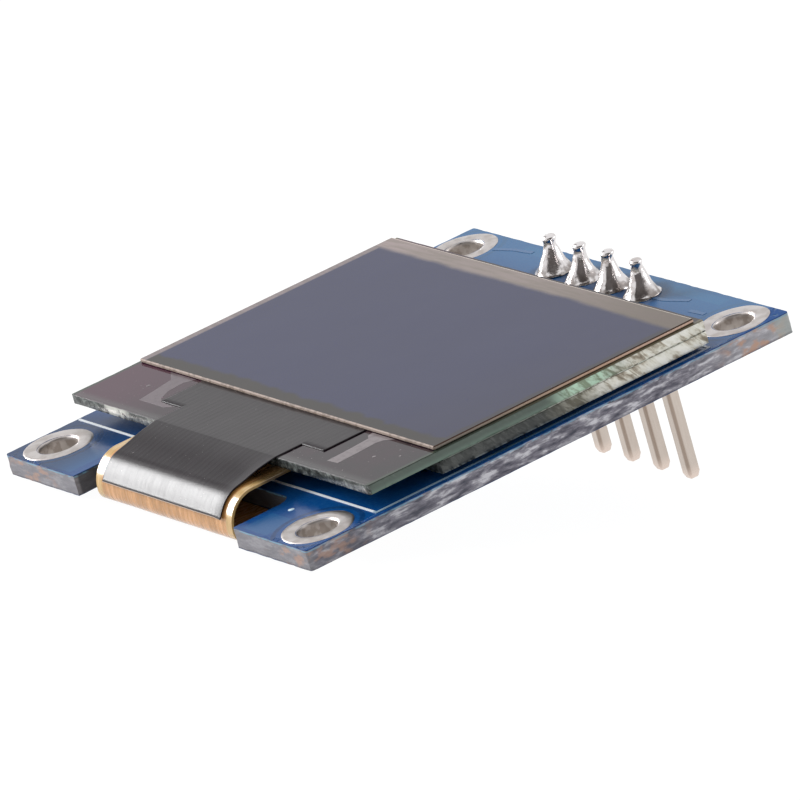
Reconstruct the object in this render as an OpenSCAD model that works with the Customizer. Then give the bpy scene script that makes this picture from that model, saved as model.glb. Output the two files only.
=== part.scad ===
// Small OLED display module.
// A bonded glass display panel lies on a printed circuit board. Its ribbon
// folds through a notch in the board and is soldered to the back face, and a
// shield tape runs from the panel over the glass edge onto the fold.
// A row of header pins is soldered in at the far edge.
//
// Origin: the middle of the four mounting holes, on the back face of the
// board. +Z points out of the display and +Y towards the header row.

/* [Board] */
// Width of the board along X
board_w = 27.3; // [27:0.1:30]
// Depth of the board along Y
board_d = 27.8; // [27.6:0.1:30]
// Thickness of the board
board_t = 1.05; // [0.8:0.05:1.2]
// Radius of the four outer corners
board_corner_r = 0.15; // [0.1:0.05:1]
// Width of the notch that the ribbon passes through
notch_w = 14.5; // [13.5:0.1:16]
// Depth of the notch
notch_d = 3.4; // [3:0.1:3.7]
// Radius that the router leaves in the notch corners
notch_corner_r = 0.8; // [0.4:0.1:1.2]

/* [Mounting holes] */
// Diameter of the plated mounting holes
hole_d = 2.0; // [1.8:0.1:2.4]
// Distance from a hole centre to both of its board edges
hole_inset = 1.9; // [1.9:0.05:2.1]
// Diameter of the solder pad round a hole
hole_pad_d = 3.5; // [3:0.1:3.6]
// Thickness of the copper and solder plating
plating_t = 0.04; // [0.03:0.01:0.06]

/* [Display panel] */
// Width of the front glass
glass_w = 26.7; // [26:0.1:27]
// Depth of the front glass with its bare ledge
glass_d = 19.26; // [19:0.02:19.5]
// Thickness of the front glass
glass_t = 0.5; // [0.4:0.05:0.7]
// Distance from the near board edge to the ledge edge
ledge_y = 4.15; // [3.9:0.05:4.3]
// Depth of the bare ledge in front of the rear glass
ledge_d = 3.9; // [3.8:0.1:4.2]
// Thickness of the rear glass
cap_t = 0.62; // [0.5:0.02:0.7]
// Thickness of the foam pad between panel and board
foam_t = 0.25; // [0.2:0.01:0.3]
// Width of the polarizing film
polarizer_w = 26.3; // [25:0.1:26.4]
// Depth of the polarizing film
polarizer_d = 15.0; // [14.5:0.1:15.2]
// Thickness of the polarizing film
polarizer_t = 0.2; // [0.15:0.01:0.3]

/* [Ribbon and shield tape] */
// Width of the ribbon where it passes the notch
ribbon_w = 12.3; // [11:0.1:12.8]
// Width of the ribbon end with the solder contacts
ribbon_end_w = 19.6; // [19:0.1:20]
// Thickness of the ribbon
ribbon_t = 0.12; // [0.08:0.01:0.15]
// Outer radius of the upper half of the fold
fold_upper_r = 1.61; // [1.55:0.01:1.65]
// Outer radius of the lower half of the fold
fold_lower_r = 0.6; // [0.5:0.05:0.7]
// Straight drop between the two halves of the fold
fold_drop = 0.06; // [0.02:0.02:0.2]
// Slope at which the ribbon climbs back to the board
climb_angle = 14; // [12:1:18]
// Number of solder contacts on the ribbon
contact_count = 30; // [24:1:30]
// Spacing of the solder contacts
contact_pitch = 0.62; // [0.6:0.01:0.64]
// Width of the shield tape along the ribbon
tape_w = 10.8; // [10:0.1:11]
// Width of the shield tape on the glass ledge
tape_wide_w = 14.6; // [12:0.1:16]
// Thickness of the shield tape
tape_t = 0.06; // [0.04:0.01:0.08]
// How far round the fold the tape reaches, from the top
tape_wrap_angle = 72; // [60:1:85]

/* [Header] */
// Spacing of the pins
pin_pitch = 2.54; // [2.5:0.01:2.54]
// Side of a square pin
pin_side = 0.64; // [0.6:0.01:0.66]
// Length of a pin
pin_len = 11.35; // [9:0.05:15]
// Height of a pin tip above the board back face
pin_top_z = 2.85; // [2.7:0.05:3]
// Distance from the far board edge to the pin row
pin_inset = 1.75; // [1.6:0.05:2]
// Diameter of a solder cone at the board
cone_base_d = 1.9; // [1.8:0.05:2.1]
// Diameter of the bead of solder that closes over a pin tip
bead_d = 0.72; // [0.7:0.02:0.8]

/* [Hidden] */
$fn = 48;
// Largest turn between two stations of a bend.
bend_step = 5;

// Board edges and holes, measured from the middle of the mounting holes.
edge_x = board_w / 2;
edge_y = board_d / 2;
hole_x = edge_x - hole_inset;
hole_y = edge_y - hole_inset;
hole_spots = [[-hole_x, -hole_y], [hole_x, -hole_y], [hole_x, hole_y], [-hole_x, hole_y]];
header_y = edge_y - pin_inset;
pin_spots = [for (i = [0:3]) [(i - 1.5) * pin_pitch, header_y]];
pin_hole_d = 1.0;

// Stack of the display panel, from the board up.
seal_t = 0.04;
rear_glass_z = board_t + foam_t;
seal_z = rear_glass_z + cap_t;
front_glass_z = seal_z + seal_t;
polarizer_z = front_glass_z + glass_t;
ledge_edge = ledge_y - edge_y;
rear_glass_edge = ledge_edge + ledge_d;
panel_far = ledge_edge + glass_d;
rear_glass_d = panel_far - rear_glass_edge;
rear_glass_mid = (panel_far + rear_glass_edge) / 2;
seal_inset = 0.2;
seal_w = 1.2;
recess_depth = 0.2;
getter_t = 0.1;
layers_t = 0.02;

// Fold of the ribbon: outer surface under the glass, round through the notch
// and flat under the board, on a solder film.
contact_film_t = 0.05;
bond_len = 1.45;
upper_r = fold_upper_r - ribbon_t / 2;
lower_r = fold_lower_r - ribbon_t / 2;
settle_r = 1.5;
fold_z = front_glass_z - fold_upper_r;
fold_y = ledge_edge - 2.04;
flat_z = -contact_film_t - ribbon_t / 2;
climb_len = (flat_z - fold_z + fold_drop + lower_r * cos(climb_angle)
             - settle_r * (1 - cos(climb_angle))) / sin(climb_angle);
flat_y = fold_y - fold_upper_r + fold_lower_r
         + (lower_r + settle_r) * sin(climb_angle) + climb_len * cos(climb_angle);
ribbon_end_y = -5.9;
ribbon_steps = [
    [ledge_edge + bond_len - fold_y, 0],
    [upper_r, 90],
    [fold_drop, 0],
    [lower_r, 90 + climb_angle],
    [climb_len, 0],
    [settle_r, -climb_angle],
    [ribbon_end_y - flat_y, 0]
];

// Shield tape: flat on the ledge, then along the common tangent of the glass
// corner and the fold, then round the fold.
tape_step_y = ledge_edge + 1.45;
tape_corner_r = 0.25;
tape_lip = 0.05;
glue_t = 0.005;
tape_inner_r = fold_upper_r + glue_t;
corner_y = ledge_edge - tape_lip - fold_y;
corner_z = polarizer_z - fold_z;
corner_reach = norm([corner_y, corner_z]);
touch_angle = atan2(corner_z, corner_y) + acos(tape_inner_r / corner_reach);
tape_slope = touch_angle - 90;
tape_span = sqrt(corner_reach * corner_reach - tape_inner_r * tape_inner_r);
corner_trim = tape_corner_r * tan(tape_slope / 2);
tape_steps = [
    [tape_step_y - ledge_edge + tape_lip - corner_trim, 0],
    [tape_corner_r + tape_t / 2, tape_slope],
    [tape_span - corner_trim, 0],
    [tape_inner_r + tape_t / 2, tape_wrap_angle - tape_slope]
];

// Parts on the back face: [x, y, turn] of each one.
chip_film_t = 0.03;
resistor_size = [1.6, 0.8, 0.45];
capacitor_size = [1.6, 0.8, 0.8];
terminal_len = 0.32;
terminal_skin = 0.02;
resistor_spots = [[2.4, 7.6, 90], [4.4, 7.6, 90], [6.4, 7.6, 90], [8.4, 7.6, 90],
                  [-9.6, 0.8, 0], [-9.6, -1.0, 0], [8.6, 0.8, 0]];
capacitor_spots = [[-10.6, 7.2, 90], [-3.8, 7.2, 90], [-5.2, 0.8, 90],
                   [-1.6, 0.8, 90], [2.0, 0.8, 90], [5.2, 0.8, 90]];
regulator_spot = [-7.2, 6.9];
regulator_size = [2.9, 1.3, 1.0];
regulator_standoff = 0.1;
lead_w = 0.4;
lead_t = 0.13;
lead_pitch = 1.9;

// ---- shared shapes ----

// Rectangle centred on the origin with round corners.
module rounded_rect(w, d, r) {
    square([w - 2 * r, d], center = true);
    square([w, d - 2 * r], center = true);
    for (sx = [-1, 1], sy = [-1, 1])
        translate([sx * (w / 2 - r), sy * (d / 2 - r)]) circle(r);
}

// Rectangular frame with a line of the given width inside its outline.
module frame_outline(w, d, line) {
    difference() {
        square([w, d], center = true);
        square([w - 2 * line, d - 2 * line], center = true);
    }
}

// Plate centred in X and Y that stands on z.
module plate(w, d, t, y, z) {
    translate([-w / 2, y - d / 2, z]) cube([w, d, t]);
}

// Straights and bends of a strip, as a list of steps: [length, 0] for a
// straight, or [middle radius, angle] for a bend that turns left when the
// angle is positive. A station is [x, y, heading] on the middle line.
function ahead(at, size) =
    [at[0] + size * cos(at[2]), at[1] + size * sin(at[2]), at[2]];
function bent(at, radius, angle) =
    let (r = sign(angle) * radius, heading = at[2] + angle)
    [at[0] - r * sin(at[2]) + r * sin(heading),
     at[1] + r * cos(at[2]) - r * cos(heading), heading];
function step_stations(at, step) =
    step[1] == 0 ? [ahead(at, step[0])] :
    let (count = ceil(abs(step[1]) / bend_step))
    [for (k = [1 : count]) bent(at, step[0], step[1] * k / count)];
function stations(steps, at = [0, 0, 0], i = 0) =
    i == len(steps) ? [] :
    let (these = step_stations(at, steps[i]))
    concat(these, stations(steps, these[len(these) - 1], i + 1));

// Strip of thickness t and width w along the steps, starting along +X.
module strip(steps, t, w) {
    line = concat([[0, 0, 0]], stations(steps));
    last = len(line) - 1;
    left = [for (p = line) [p[0] - t / 2 * sin(p[2]), p[1] + t / 2 * cos(p[2])]];
    right = [for (i = [0 : last]) let (p = line[last - i])
             [p[0] + t / 2 * sin(p[2]), p[1] - t / 2 * cos(p[2])]];
    linear_extrude(w, center = true) polygon(concat(left, right));
}

// Turns a strip to start along -Y and to bend down towards -Z.
module along_y(y, z) {
    translate([0, y, z]) rotate([90, 0, 90]) rotate([0, 0, 180]) children();
}

// ---- board ----

module board_outline() {
    difference() {
        rounded_rect(board_w, board_d, board_corner_r);
        translate([0, -edge_y])
            rounded_rect(notch_w, 2 * notch_d, notch_corner_r);
    }
}

module pcb() {
    color([0.10, 0.28, 0.48])
    difference() {
        linear_extrude(board_t) board_outline();
        for (p = hole_spots)
            translate([p[0], p[1], -1])
                cylinder(d = hole_d + 2 * plating_t, h = board_t + 2);
        for (p = pin_spots)
            translate([p[0], p[1], -1]) cylinder(d = pin_hole_d, h = board_t + 2);
    }
}

// Printed outline of the panel, which shows beside the glass. It is open on
// the left, where it runs off towards the board edge.
module silkscreen() {
    line = 0.13;
    ink_t = 0.03;
    left = -edge_x + 0.15;
    right = glass_w / 2;
    color([0.92, 0.93, 0.95])
    translate([0, ledge_edge, board_t])
        linear_extrude(ink_t)
            difference() {
                translate([left, 0]) square([right - left, glass_d]);
                translate([left - 1, line])
                    square([right - left + 1 - line, glass_d - 2 * line]);
            }
}

// Plated wall and pads of a mounting hole.
module hole_plating(p) {
    color([0.82, 0.79, 0.78])
    translate([p[0], p[1], 0])
        difference() {
            union() {
                cylinder(d = hole_d + 2 * plating_t, h = board_t);
                translate([0, 0, -plating_t]) cylinder(d = hole_pad_d, h = plating_t);
                translate([0, 0, board_t]) cylinder(d = hole_pad_d, h = plating_t);
            }
            translate([0, 0, -1]) cylinder(d = hole_d, h = board_t + 2);
        }
}

// ---- header ----

header_h = 2.54;
header_depth = 2.5;
header_chamfer = 0.5;

// Outline of the plastic round one pin, with its chamfered corners.
module header_unit_outline() {
    a = pin_pitch / 2;
    b = header_depth / 2;
    c = header_chamfer;
    polygon([[-a, -b + c], [-a + c, -b], [a - c, -b], [a, -b + c],
             [a, b - c], [a - c, b], [-a + c, b], [-a, b - c]]);
}

module header_body() {
    color([0.08, 0.08, 0.09])
    translate([0, 0, -header_h])
        difference() {
            linear_extrude(header_h)
                for (p = pin_spots) translate(p) header_unit_outline();
            for (p = pin_spots)
                translate([p[0] - pin_side / 2, p[1] - pin_side / 2, -1])
                    cube([pin_side, pin_side, header_h + 2]);
        }
}

// Side view of a pin: a long taper at the soldered tip, a short one below.
module pin_profile() {
    s = pin_side / 2;
    top_tip = 0.15;
    top_taper = 1.15;
    low_tip = 0.22;
    low_taper = 0.3;
    low = pin_top_z - pin_len;
    polygon([[-low_tip, low], [low_tip, low], [s, low + low_taper],
             [s, pin_top_z - top_taper], [top_tip, pin_top_z], [-top_tip, pin_top_z],
             [-s, pin_top_z - top_taper], [-s, low + low_taper]]);
}

module header_pin(p) {
    color([0.80, 0.77, 0.72])
    translate([p[0], p[1], 0])
        intersection() {
            rotate([90, 0, 0])
                linear_extrude(2 * pin_side, center = true) pin_profile();
            rotate([90, 0, 90])
                linear_extrude(2 * pin_side, center = true) pin_profile();
        }
}

// Solder that fills the plated hole, climbs the pin in a hollow flank and
// closes over the pin tip in a bead.
module solder_cone(p) {
    base_r = cone_base_d / 2;
    neck_r = bead_d / 2 - 0.02;
    bead_z = pin_top_z + 0.08 - bead_d / 2;
    flank_h = bead_z - board_t;
    flank = base_r - neck_r;
    flank_r = (flank * flank + flank_h * flank_h) / (2 * flank);
    color([0.75, 0.74, 0.75])
    difference() {
        translate([p[0], p[1], 0]) {
            cylinder(d = pin_hole_d, h = board_t);
            translate([0, 0, board_t])
                rotate_extrude()
                    difference() {
                        square([base_r, flank_h]);
                        translate([neck_r + flank_r, flank_h]) circle(flank_r, $fn = 180);
                    }
            translate([0, 0, bead_z])
                rotate_extrude()
                    intersection() {
                        circle(d = bead_d);
                        translate([0, -bead_d / 2]) square([bead_d, bead_d]);
                    }
        }
        header_pin(p);
    }
}

// ---- display panel ----

module foam_pad() {
    inset = 0.8;
    color([0.25, 0.25, 0.27])
    plate(glass_w - 2 * inset, rear_glass_d - 2 * inset, foam_t, rear_glass_mid, board_t);
}

// Rear glass with the etched hollow that holds the getter.
module rear_glass() {
    hollow = seal_inset + seal_w;
    color([0.62, 0.72, 0.68])
    difference() {
        plate(glass_w, rear_glass_d, cap_t, rear_glass_mid, rear_glass_z);
        plate(glass_w - 2 * hollow, rear_glass_d - 2 * hollow, 1,
              rear_glass_mid, seal_z - recess_depth);
    }
}

module getter_sheet() {
    margin = 2.2;
    color([0.90, 0.89, 0.86])
    plate(glass_w - 2 * margin, rear_glass_d - 2 * margin, getter_t,
          rear_glass_mid, seal_z - recess_depth);
}

module edge_seal() {
    color([0.72, 0.68, 0.60])
    translate([0, rear_glass_mid, seal_z])
        linear_extrude(seal_t)
            frame_outline(glass_w - 2 * seal_inset, rear_glass_d - 2 * seal_inset, seal_w);
}

module oled_layers() {
    margin = 1.6;
    color([0.16, 0.17, 0.24])
    plate(glass_w - 2 * margin, rear_glass_d - 2 * margin, layers_t,
          rear_glass_mid, front_glass_z - layers_t);
}

module front_glass() {
    color([0.42, 0.38, 0.42])
    plate(glass_w, glass_d, glass_t, (panel_far + ledge_edge) / 2, front_glass_z);
}

module polarizer() {
    color([0.40, 0.41, 0.49])
    plate(polarizer_w, polarizer_d, polarizer_t,
          rear_glass_edge + polarizer_d / 2, polarizer_z);
}

module driver_chip() {
    chip = [6.76, 0.86, 0.3];
    color([0.20, 0.20, 0.22])
    plate(chip[0], chip[1], chip[2], rear_glass_edge - 0.8, front_glass_z - chip[2]);
}

// ---- ribbon ----

// Outline of the wide ribbon end, with round shoulders where it widens.
module ribbon_end_outline() {
    shoulder_r = 0.8;
    depth = ribbon_end_y - flat_y;
    near = ribbon_end_y - depth / 2;
    neck = ribbon_w / 2 + shoulder_r;
    translate([0, near + 0.2]) rounded_rect(ribbon_end_w, depth - 0.4, 0.5);
    difference() {
        translate([-neck, flat_y]) square([2 * neck, 0.4 + shoulder_r]);
        for (sx = [-1, 1]) {
            translate([sx * neck, flat_y + 0.4 - shoulder_r]) circle(shoulder_r);
            translate([sx * (neck + 1) - 1, flat_y - 2]) square([2, 1.6]);
        }
    }
}

module ribbon() {
    color([0.80, 0.58, 0.28]) {
        along_y(ledge_edge + bond_len, front_glass_z - ribbon_t / 2)
            strip(ribbon_steps, ribbon_t, ribbon_w);
        translate([0, 0, flat_z - ribbon_t / 2])
            linear_extrude(ribbon_t) ribbon_end_outline();
    }
}

module shield_tape() {
    wide_d = rear_glass_edge - tape_step_y;
    color([0.36, 0.35, 0.37]) {
        plate(tape_wide_w, wide_d, tape_t, tape_step_y + wide_d / 2, polarizer_z);
        along_y(tape_step_y, polarizer_z + tape_t / 2)
            strip(tape_steps, tape_t, tape_w);
    }
}

// One solder bar over the ribbon end for each contact.
module ribbon_joints() {
    bar_w = 0.34;
    on_ribbon = 0.8;
    past_end = 0.45;
    bar_drop = 0.14;
    film_d = 2.4;
    under = flat_z - ribbon_t / 2;
    color([0.78, 0.78, 0.79])
    for (i = [0 : contact_count - 1])
        translate([(i - (contact_count - 1) / 2) * contact_pitch, ribbon_end_y, 0]) {
            translate([-bar_w / 2, -on_ribbon, under - bar_drop])
                cube([bar_w, on_ribbon + past_end, bar_drop]);
            translate([-bar_w / 2, 0, under - bar_drop])
                cube([bar_w, past_end, bar_drop - under]);
            translate([-bar_w / 2, -film_d, -contact_film_t])
                cube([bar_w, film_d + past_end, contact_film_t]);
        }
}

// ---- parts on the back face ----

// Chip part with a ceramic body and two metal end caps, hanging from z = 0.
module chip_part(size, body_colour) {
    s = terminal_skin;
    translate([0, 0, -chip_film_t - size[2]]) {
        color(body_colour)
        translate([-size[0] / 2 + s, -size[1] / 2 + s, s])
            cube([size[0] - 2 * s, size[1] - 2 * s, size[2] - 2 * s]);
        color([0.80, 0.79, 0.77])
        for (sx = [-1, 1])
            translate([sx * (size[0] - terminal_len) / 2 - terminal_len / 2, -size[1] / 2, 0])
                cube([terminal_len, size[1], size[2]]);
    }
}

module at_spot(spot) {
    translate([spot[0], spot[1], 0]) rotate([0, 0, spot[2]]) children();
}

module resistor(spot) {
    at_spot(spot) chip_part(resistor_size, [0.12, 0.12, 0.13]);
}

module capacitor(spot) {
    at_spot(spot) chip_part(capacitor_size, [0.70, 0.60, 0.45]);
}

// Moulded body with sloping sides, in two halves that meet at the leads.
module regulator_body() {
    draft = 0.12;
    l = regulator_size[0] / 2;
    w = regulator_size[1] / 2;
    h = regulator_size[2];
    color([0.10, 0.10, 0.11])
    translate([regulator_spot[0], regulator_spot[1], -regulator_standoff - h])
        intersection() {
            rotate([90, 0, 0]) linear_extrude(4 * w, center = true)
                polygon([[-l + draft, 0], [l - draft, 0], [l, h / 2],
                         [l - draft, h], [-l + draft, h], [-l, h / 2]]);
            rotate([90, 0, 90]) linear_extrude(4 * l, center = true)
                polygon([[-w + draft, 0], [w - draft, 0], [w, h / 2],
                         [w - draft, h], [-w + draft, h], [-w, h / 2]]);
        }
}

// Three gull-wing leads: two on one long side and one on the other.
module regulator_leads() {
    mid_z = -regulator_standoff - regulator_size[2] / 2;
    foot_z = -chip_film_t - lead_t / 2;
    bend_r = 0.14;
    out = regulator_size[1] / 2;
    steps = [[0.18, 0], [bend_r, 90], [foot_z - mid_z - 2 * bend_r, 0], [bend_r, -90], [0.3, 0]];
    color([0.80, 0.79, 0.77])
    for (lead = [[-lead_pitch / 2, 1], [lead_pitch / 2, 1], [0, -1]])
        translate([regulator_spot[0] + lead[0], regulator_spot[1], mid_z])
            rotate([0, 0, lead[1] > 0 ? 90 : -90])
                translate([out, 0, 0]) rotate([90, 0, 0])
                    strip(steps, lead_t, lead_w);
}

// Solder pad and fillet at one end of a chip part.
module chip_end_joint(size) {
    reach = 0.25;
    climb = size[2] * 0.45;
    translate([size[0] / 2, 0, 0]) rotate([90, 0, 0])
        linear_extrude(size[1] * 0.9, center = true)
            polygon([[-terminal_len, 0], [reach, 0], [reach, -chip_film_t],
                     [0, -chip_film_t - climb], [0, -chip_film_t],
                     [-terminal_len, -chip_film_t]]);
}

module chip_joints() {
    foot = regulator_size[1] / 2 + 0.35;
    color([0.78, 0.78, 0.79]) {
        for (spot = resistor_spots)
            at_spot(spot) for (turn = [0, 180]) rotate(turn) chip_end_joint(resistor_size);
        for (spot = capacitor_spots)
            at_spot(spot) for (turn = [0, 180]) rotate(turn) chip_end_joint(capacitor_size);
        for (lead = [[-lead_pitch / 2, 1], [lead_pitch / 2, 1], [0, -1]])
            translate([regulator_spot[0] + lead[0] - 0.3,
                       regulator_spot[1] + lead[1] * foot - (lead[1] > 0 ? 0 : 0.6),
                       -chip_film_t])
                cube([0.6, 0.6, chip_film_t]);
    }
}

pcb();
silkscreen();
hole_plating(hole_spots[0]);  // hole_plating_1
hole_plating(hole_spots[1]);  // hole_plating_2
hole_plating(hole_spots[2]);  // hole_plating_3
hole_plating(hole_spots[3]);  // hole_plating_4
header_body();
header_pin(pin_spots[0]);  // header_pin_1
header_pin(pin_spots[1]);  // header_pin_2
header_pin(pin_spots[2]);  // header_pin_3
header_pin(pin_spots[3]);  // header_pin_4
solder_cone(pin_spots[0]);  // solder_cone_1
solder_cone(pin_spots[1]);  // solder_cone_2
solder_cone(pin_spots[2]);  // solder_cone_3
solder_cone(pin_spots[3]);  // solder_cone_4
foam_pad();
rear_glass();
getter_sheet();
edge_seal();
oled_layers();
front_glass();
polarizer();
driver_chip();
ribbon();
shield_tape();
ribbon_joints();
resistor(resistor_spots[0]);  // resistor_1
resistor(resistor_spots[1]);  // resistor_2
resistor(resistor_spots[2]);  // resistor_3
resistor(resistor_spots[3]);  // resistor_4
resistor(resistor_spots[4]);  // resistor_5
resistor(resistor_spots[5]);  // resistor_6
resistor(resistor_spots[6]);  // resistor_7
capacitor(capacitor_spots[0]);  // capacitor_1
capacitor(capacitor_spots[1]);  // capacitor_2
capacitor(capacitor_spots[2]);  // capacitor_3
capacitor(capacitor_spots[3]);  // capacitor_4
capacitor(capacitor_spots[4]);  // capacitor_5
capacitor(capacitor_spots[5]);  // capacitor_6
regulator_body();
regulator_leads();
chip_joints();
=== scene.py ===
"""Small OLED display module: detailed pieces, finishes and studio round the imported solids."""

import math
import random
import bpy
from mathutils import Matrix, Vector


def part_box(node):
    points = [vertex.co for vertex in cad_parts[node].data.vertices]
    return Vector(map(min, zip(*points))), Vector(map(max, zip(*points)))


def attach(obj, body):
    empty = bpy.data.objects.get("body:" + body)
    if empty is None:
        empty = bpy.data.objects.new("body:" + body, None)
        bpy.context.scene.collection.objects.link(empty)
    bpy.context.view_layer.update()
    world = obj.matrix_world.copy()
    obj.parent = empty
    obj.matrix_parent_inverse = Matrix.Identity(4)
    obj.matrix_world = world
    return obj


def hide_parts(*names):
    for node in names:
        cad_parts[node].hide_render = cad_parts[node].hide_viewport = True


bl_info = {
    "name": "Small OLED display module",
    "version": (1, 0, 0),
    "blender": (4, 5, 0),
    "location": "View3D > Sidebar > Display Module",
    "description": "Builds the detailed pieces and finishes of a small OLED display module",
    "category": "Add Mesh",
}

from functools import reduce

import bmesh
import bpy
from mathutils import Matrix, Vector, noise

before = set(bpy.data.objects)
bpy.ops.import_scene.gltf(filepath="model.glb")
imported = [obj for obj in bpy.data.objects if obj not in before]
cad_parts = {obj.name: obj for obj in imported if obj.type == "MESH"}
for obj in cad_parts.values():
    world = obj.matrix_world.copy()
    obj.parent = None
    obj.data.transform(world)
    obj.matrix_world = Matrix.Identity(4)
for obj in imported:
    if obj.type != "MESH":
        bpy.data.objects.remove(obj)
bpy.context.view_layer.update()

MM = 0.001
ROOT = "root"


def box_mm(node):
    """Lowest and highest corner of a CAD node in millimetres."""
    low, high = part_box(node)
    return low / MM, high / MM


def middle_mm(node):
    """Middle of a CAD node's box in millimetres."""
    low, high = box_mm(node)
    return (low + high) / 2


# ---- where things are, in millimetres ----

BOARD_LOW, BOARD_HIGH = box_mm("pcb")
GLASS_LOW, GLASS_HIGH = box_mm("front_glass")
REAR_LOW, REAR_HIGH = box_mm("rear_glass")
FILM_LOW, FILM_HIGH = box_mm("polarizer")
RIBBON_LOW, RIBBON_HIGH = box_mm("ribbon")
TAPE_END = box_mm("shield_tape")[0].z
PIN_TIP = box_mm("header_pin_1")[0].z
HOLES = [middle_mm(f"hole_plating_{i}") for i in (1, 2, 3, 4)]
PINS = [middle_mm(f"header_pin_{i}") for i in (1, 2, 3, 4)]
# Half the tape's width where it crosses the ledge, and the outer radius of the fold under it.
TAPE_SIDE = 5.4
FOLD_RADIUS = 1.61


# ---- settings that a user may change ----


class ModuleSizes(bpy.types.PropertyGroup):
    """Sizes of the fine detail."""

    edge_round: bpy.props.FloatProperty(
        name="Edge round", description="Radius on the edges of film, foam and end caps",
        default=0.05 * MM, min=0, unit="LENGTH", precision=5)
    board_fray: bpy.props.FloatProperty(
        name="Board fray", description="Roughness of the cut board edge",
        default=0.045 * MM, min=0, unit="LENGTH", precision=5)
    trace_width: bpy.props.FloatProperty(
        name="Trace width", description="Width of a copper track under the solder mask",
        default=0.25 * MM, min=0.1 * MM, unit="LENGTH", precision=5)
    trace_height: bpy.props.FloatProperty(
        name="Trace height", description="Height of a copper track under the solder mask",
        default=0.02 * MM, min=0.005 * MM, unit="LENGTH", precision=5)
    ribbon_relief: bpy.props.FloatProperty(
        name="Ribbon relief", description="Height of the conductors that show through the ribbon",
        default=0.012 * MM, min=0, unit="LENGTH", precision=5)
    conductor_pitch: bpy.props.FloatProperty(
        name="Conductor pitch", description="Spacing of the conductors in the ribbon",
        default=0.41 * MM, min=0.1 * MM, unit="LENGTH", precision=5)
    solder_lump: bpy.props.FloatProperty(
        name="Solder lump", description="Unevenness of the solder on pads and cones",
        default=0.05 * MM, min=0, unit="LENGTH", precision=5)


class ModuleColours(bpy.types.PropertyGroup):
    """Base colours of the finishes."""

    mask: bpy.props.FloatVectorProperty(
        name="Solder mask", description="Blue solder mask over bare laminate",
        default=(0.002, 0.058, 0.225), size=3, min=0, max=1, subtype="COLOR")
    mask_copper: bpy.props.FloatVectorProperty(
        name="Mask over copper", description="Blue solder mask over copper",
        default=(0.010, 0.095, 0.260), size=3, min=0, max=1, subtype="COLOR")
    laminate: bpy.props.FloatVectorProperty(
        name="Laminate", description="Middle tone of the board's cut edge",
        default=(0.29, 0.28, 0.325), size=3, min=0, max=1, subtype="COLOR")
    ink: bpy.props.FloatVectorProperty(
        name="Ink", description="Printed outline on the board",
        default=(0.82, 0.86, 0.90), size=3, min=0, max=1, subtype="COLOR")
    window: bpy.props.FloatVectorProperty(
        name="Display window", description="Dark part of the display",
        default=(0.005, 0.008, 0.06), size=3, min=0, max=1, subtype="COLOR")
    border: bpy.props.FloatVectorProperty(
        name="Display border", description="Pale band beside the dark part of the display",
        default=(0.25, 0.20, 0.185), size=3, min=0, max=1, subtype="COLOR")
    ledge: bpy.props.FloatVectorProperty(
        name="Ledge", description="Bare ledge of the front glass",
        default=(0.024, 0.008, 0.016), size=3, min=0, max=1, subtype="COLOR")
    tape: bpy.props.FloatVectorProperty(
        name="Shield tape", description="Dark shield tape over the ribbon",
        default=(0.006, 0.003, 0.006), size=3, min=0, max=1, subtype="COLOR")
    ribbon: bpy.props.FloatVectorProperty(
        name="Ribbon", description="Amber ribbon film over copper",
        default=(0.42, 0.20, 0.056), size=3, min=0, max=1, subtype="COLOR")
    tin: bpy.props.FloatVectorProperty(
        name="Tinned metal", description="Solder and tinned pads",
        default=(0.74, 0.71, 0.71), size=3, min=0, max=1, subtype="COLOR")
    pin: bpy.props.FloatVectorProperty(
        name="Pin metal", description="Plated header pins",
        default=(0.55, 0.48, 0.425), size=3, min=0, max=1, subtype="COLOR")


def sizes():
    """The size settings of the scene."""
    return bpy.context.scene.module_sizes


def colour(name):
    """A colour of the scene's settings as a plain tuple."""
    return tuple(getattr(bpy.context.scene.module_colours, name))


# ---- shader building ----


class Val:
    """A shader value. Arithmetic on it adds Math nodes."""

    def __init__(self, shading, socket):
        self.shading = shading
        self.socket = socket

    def math(self, operation, *values):
        """Add a Math node of an operation on values."""
        return self.shading.node(
            "ShaderNodeMath", {"operation": operation}, dict(enumerate(values)))

    def __add__(self, other):
        return self.math("ADD", self, other)

    def __radd__(self, other):
        return self.math("ADD", other, self)

    def __sub__(self, other):
        return self.math("SUBTRACT", self, other)

    def __rsub__(self, other):
        return self.math("SUBTRACT", other, self)

    def __mul__(self, other):
        return self.math("MULTIPLY", self, other)

    def __rmul__(self, other):
        return self.math("MULTIPLY", other, self)

    def __truediv__(self, other):
        return self.math("DIVIDE", self, other)

    def __rtruediv__(self, other):
        return self.math("DIVIDE", other, self)

    def __mod__(self, other):
        return self.math("FLOORED_MODULO", self, other)

    def __rmod__(self, other):
        return self.math("FLOORED_MODULO", other, self)

    def __pow__(self, other):
        return self.math("POWER", self, other)

    def __rpow__(self, other):
        return self.math("POWER", other, self)

    def __abs__(self):
        return self.math("ABSOLUTE", self)

    def most(self, other):
        return self.math("MAXIMUM", self, other)


def most_of(values):
    """The greatest of several shader values."""
    return reduce(Val.most, values)


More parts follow.
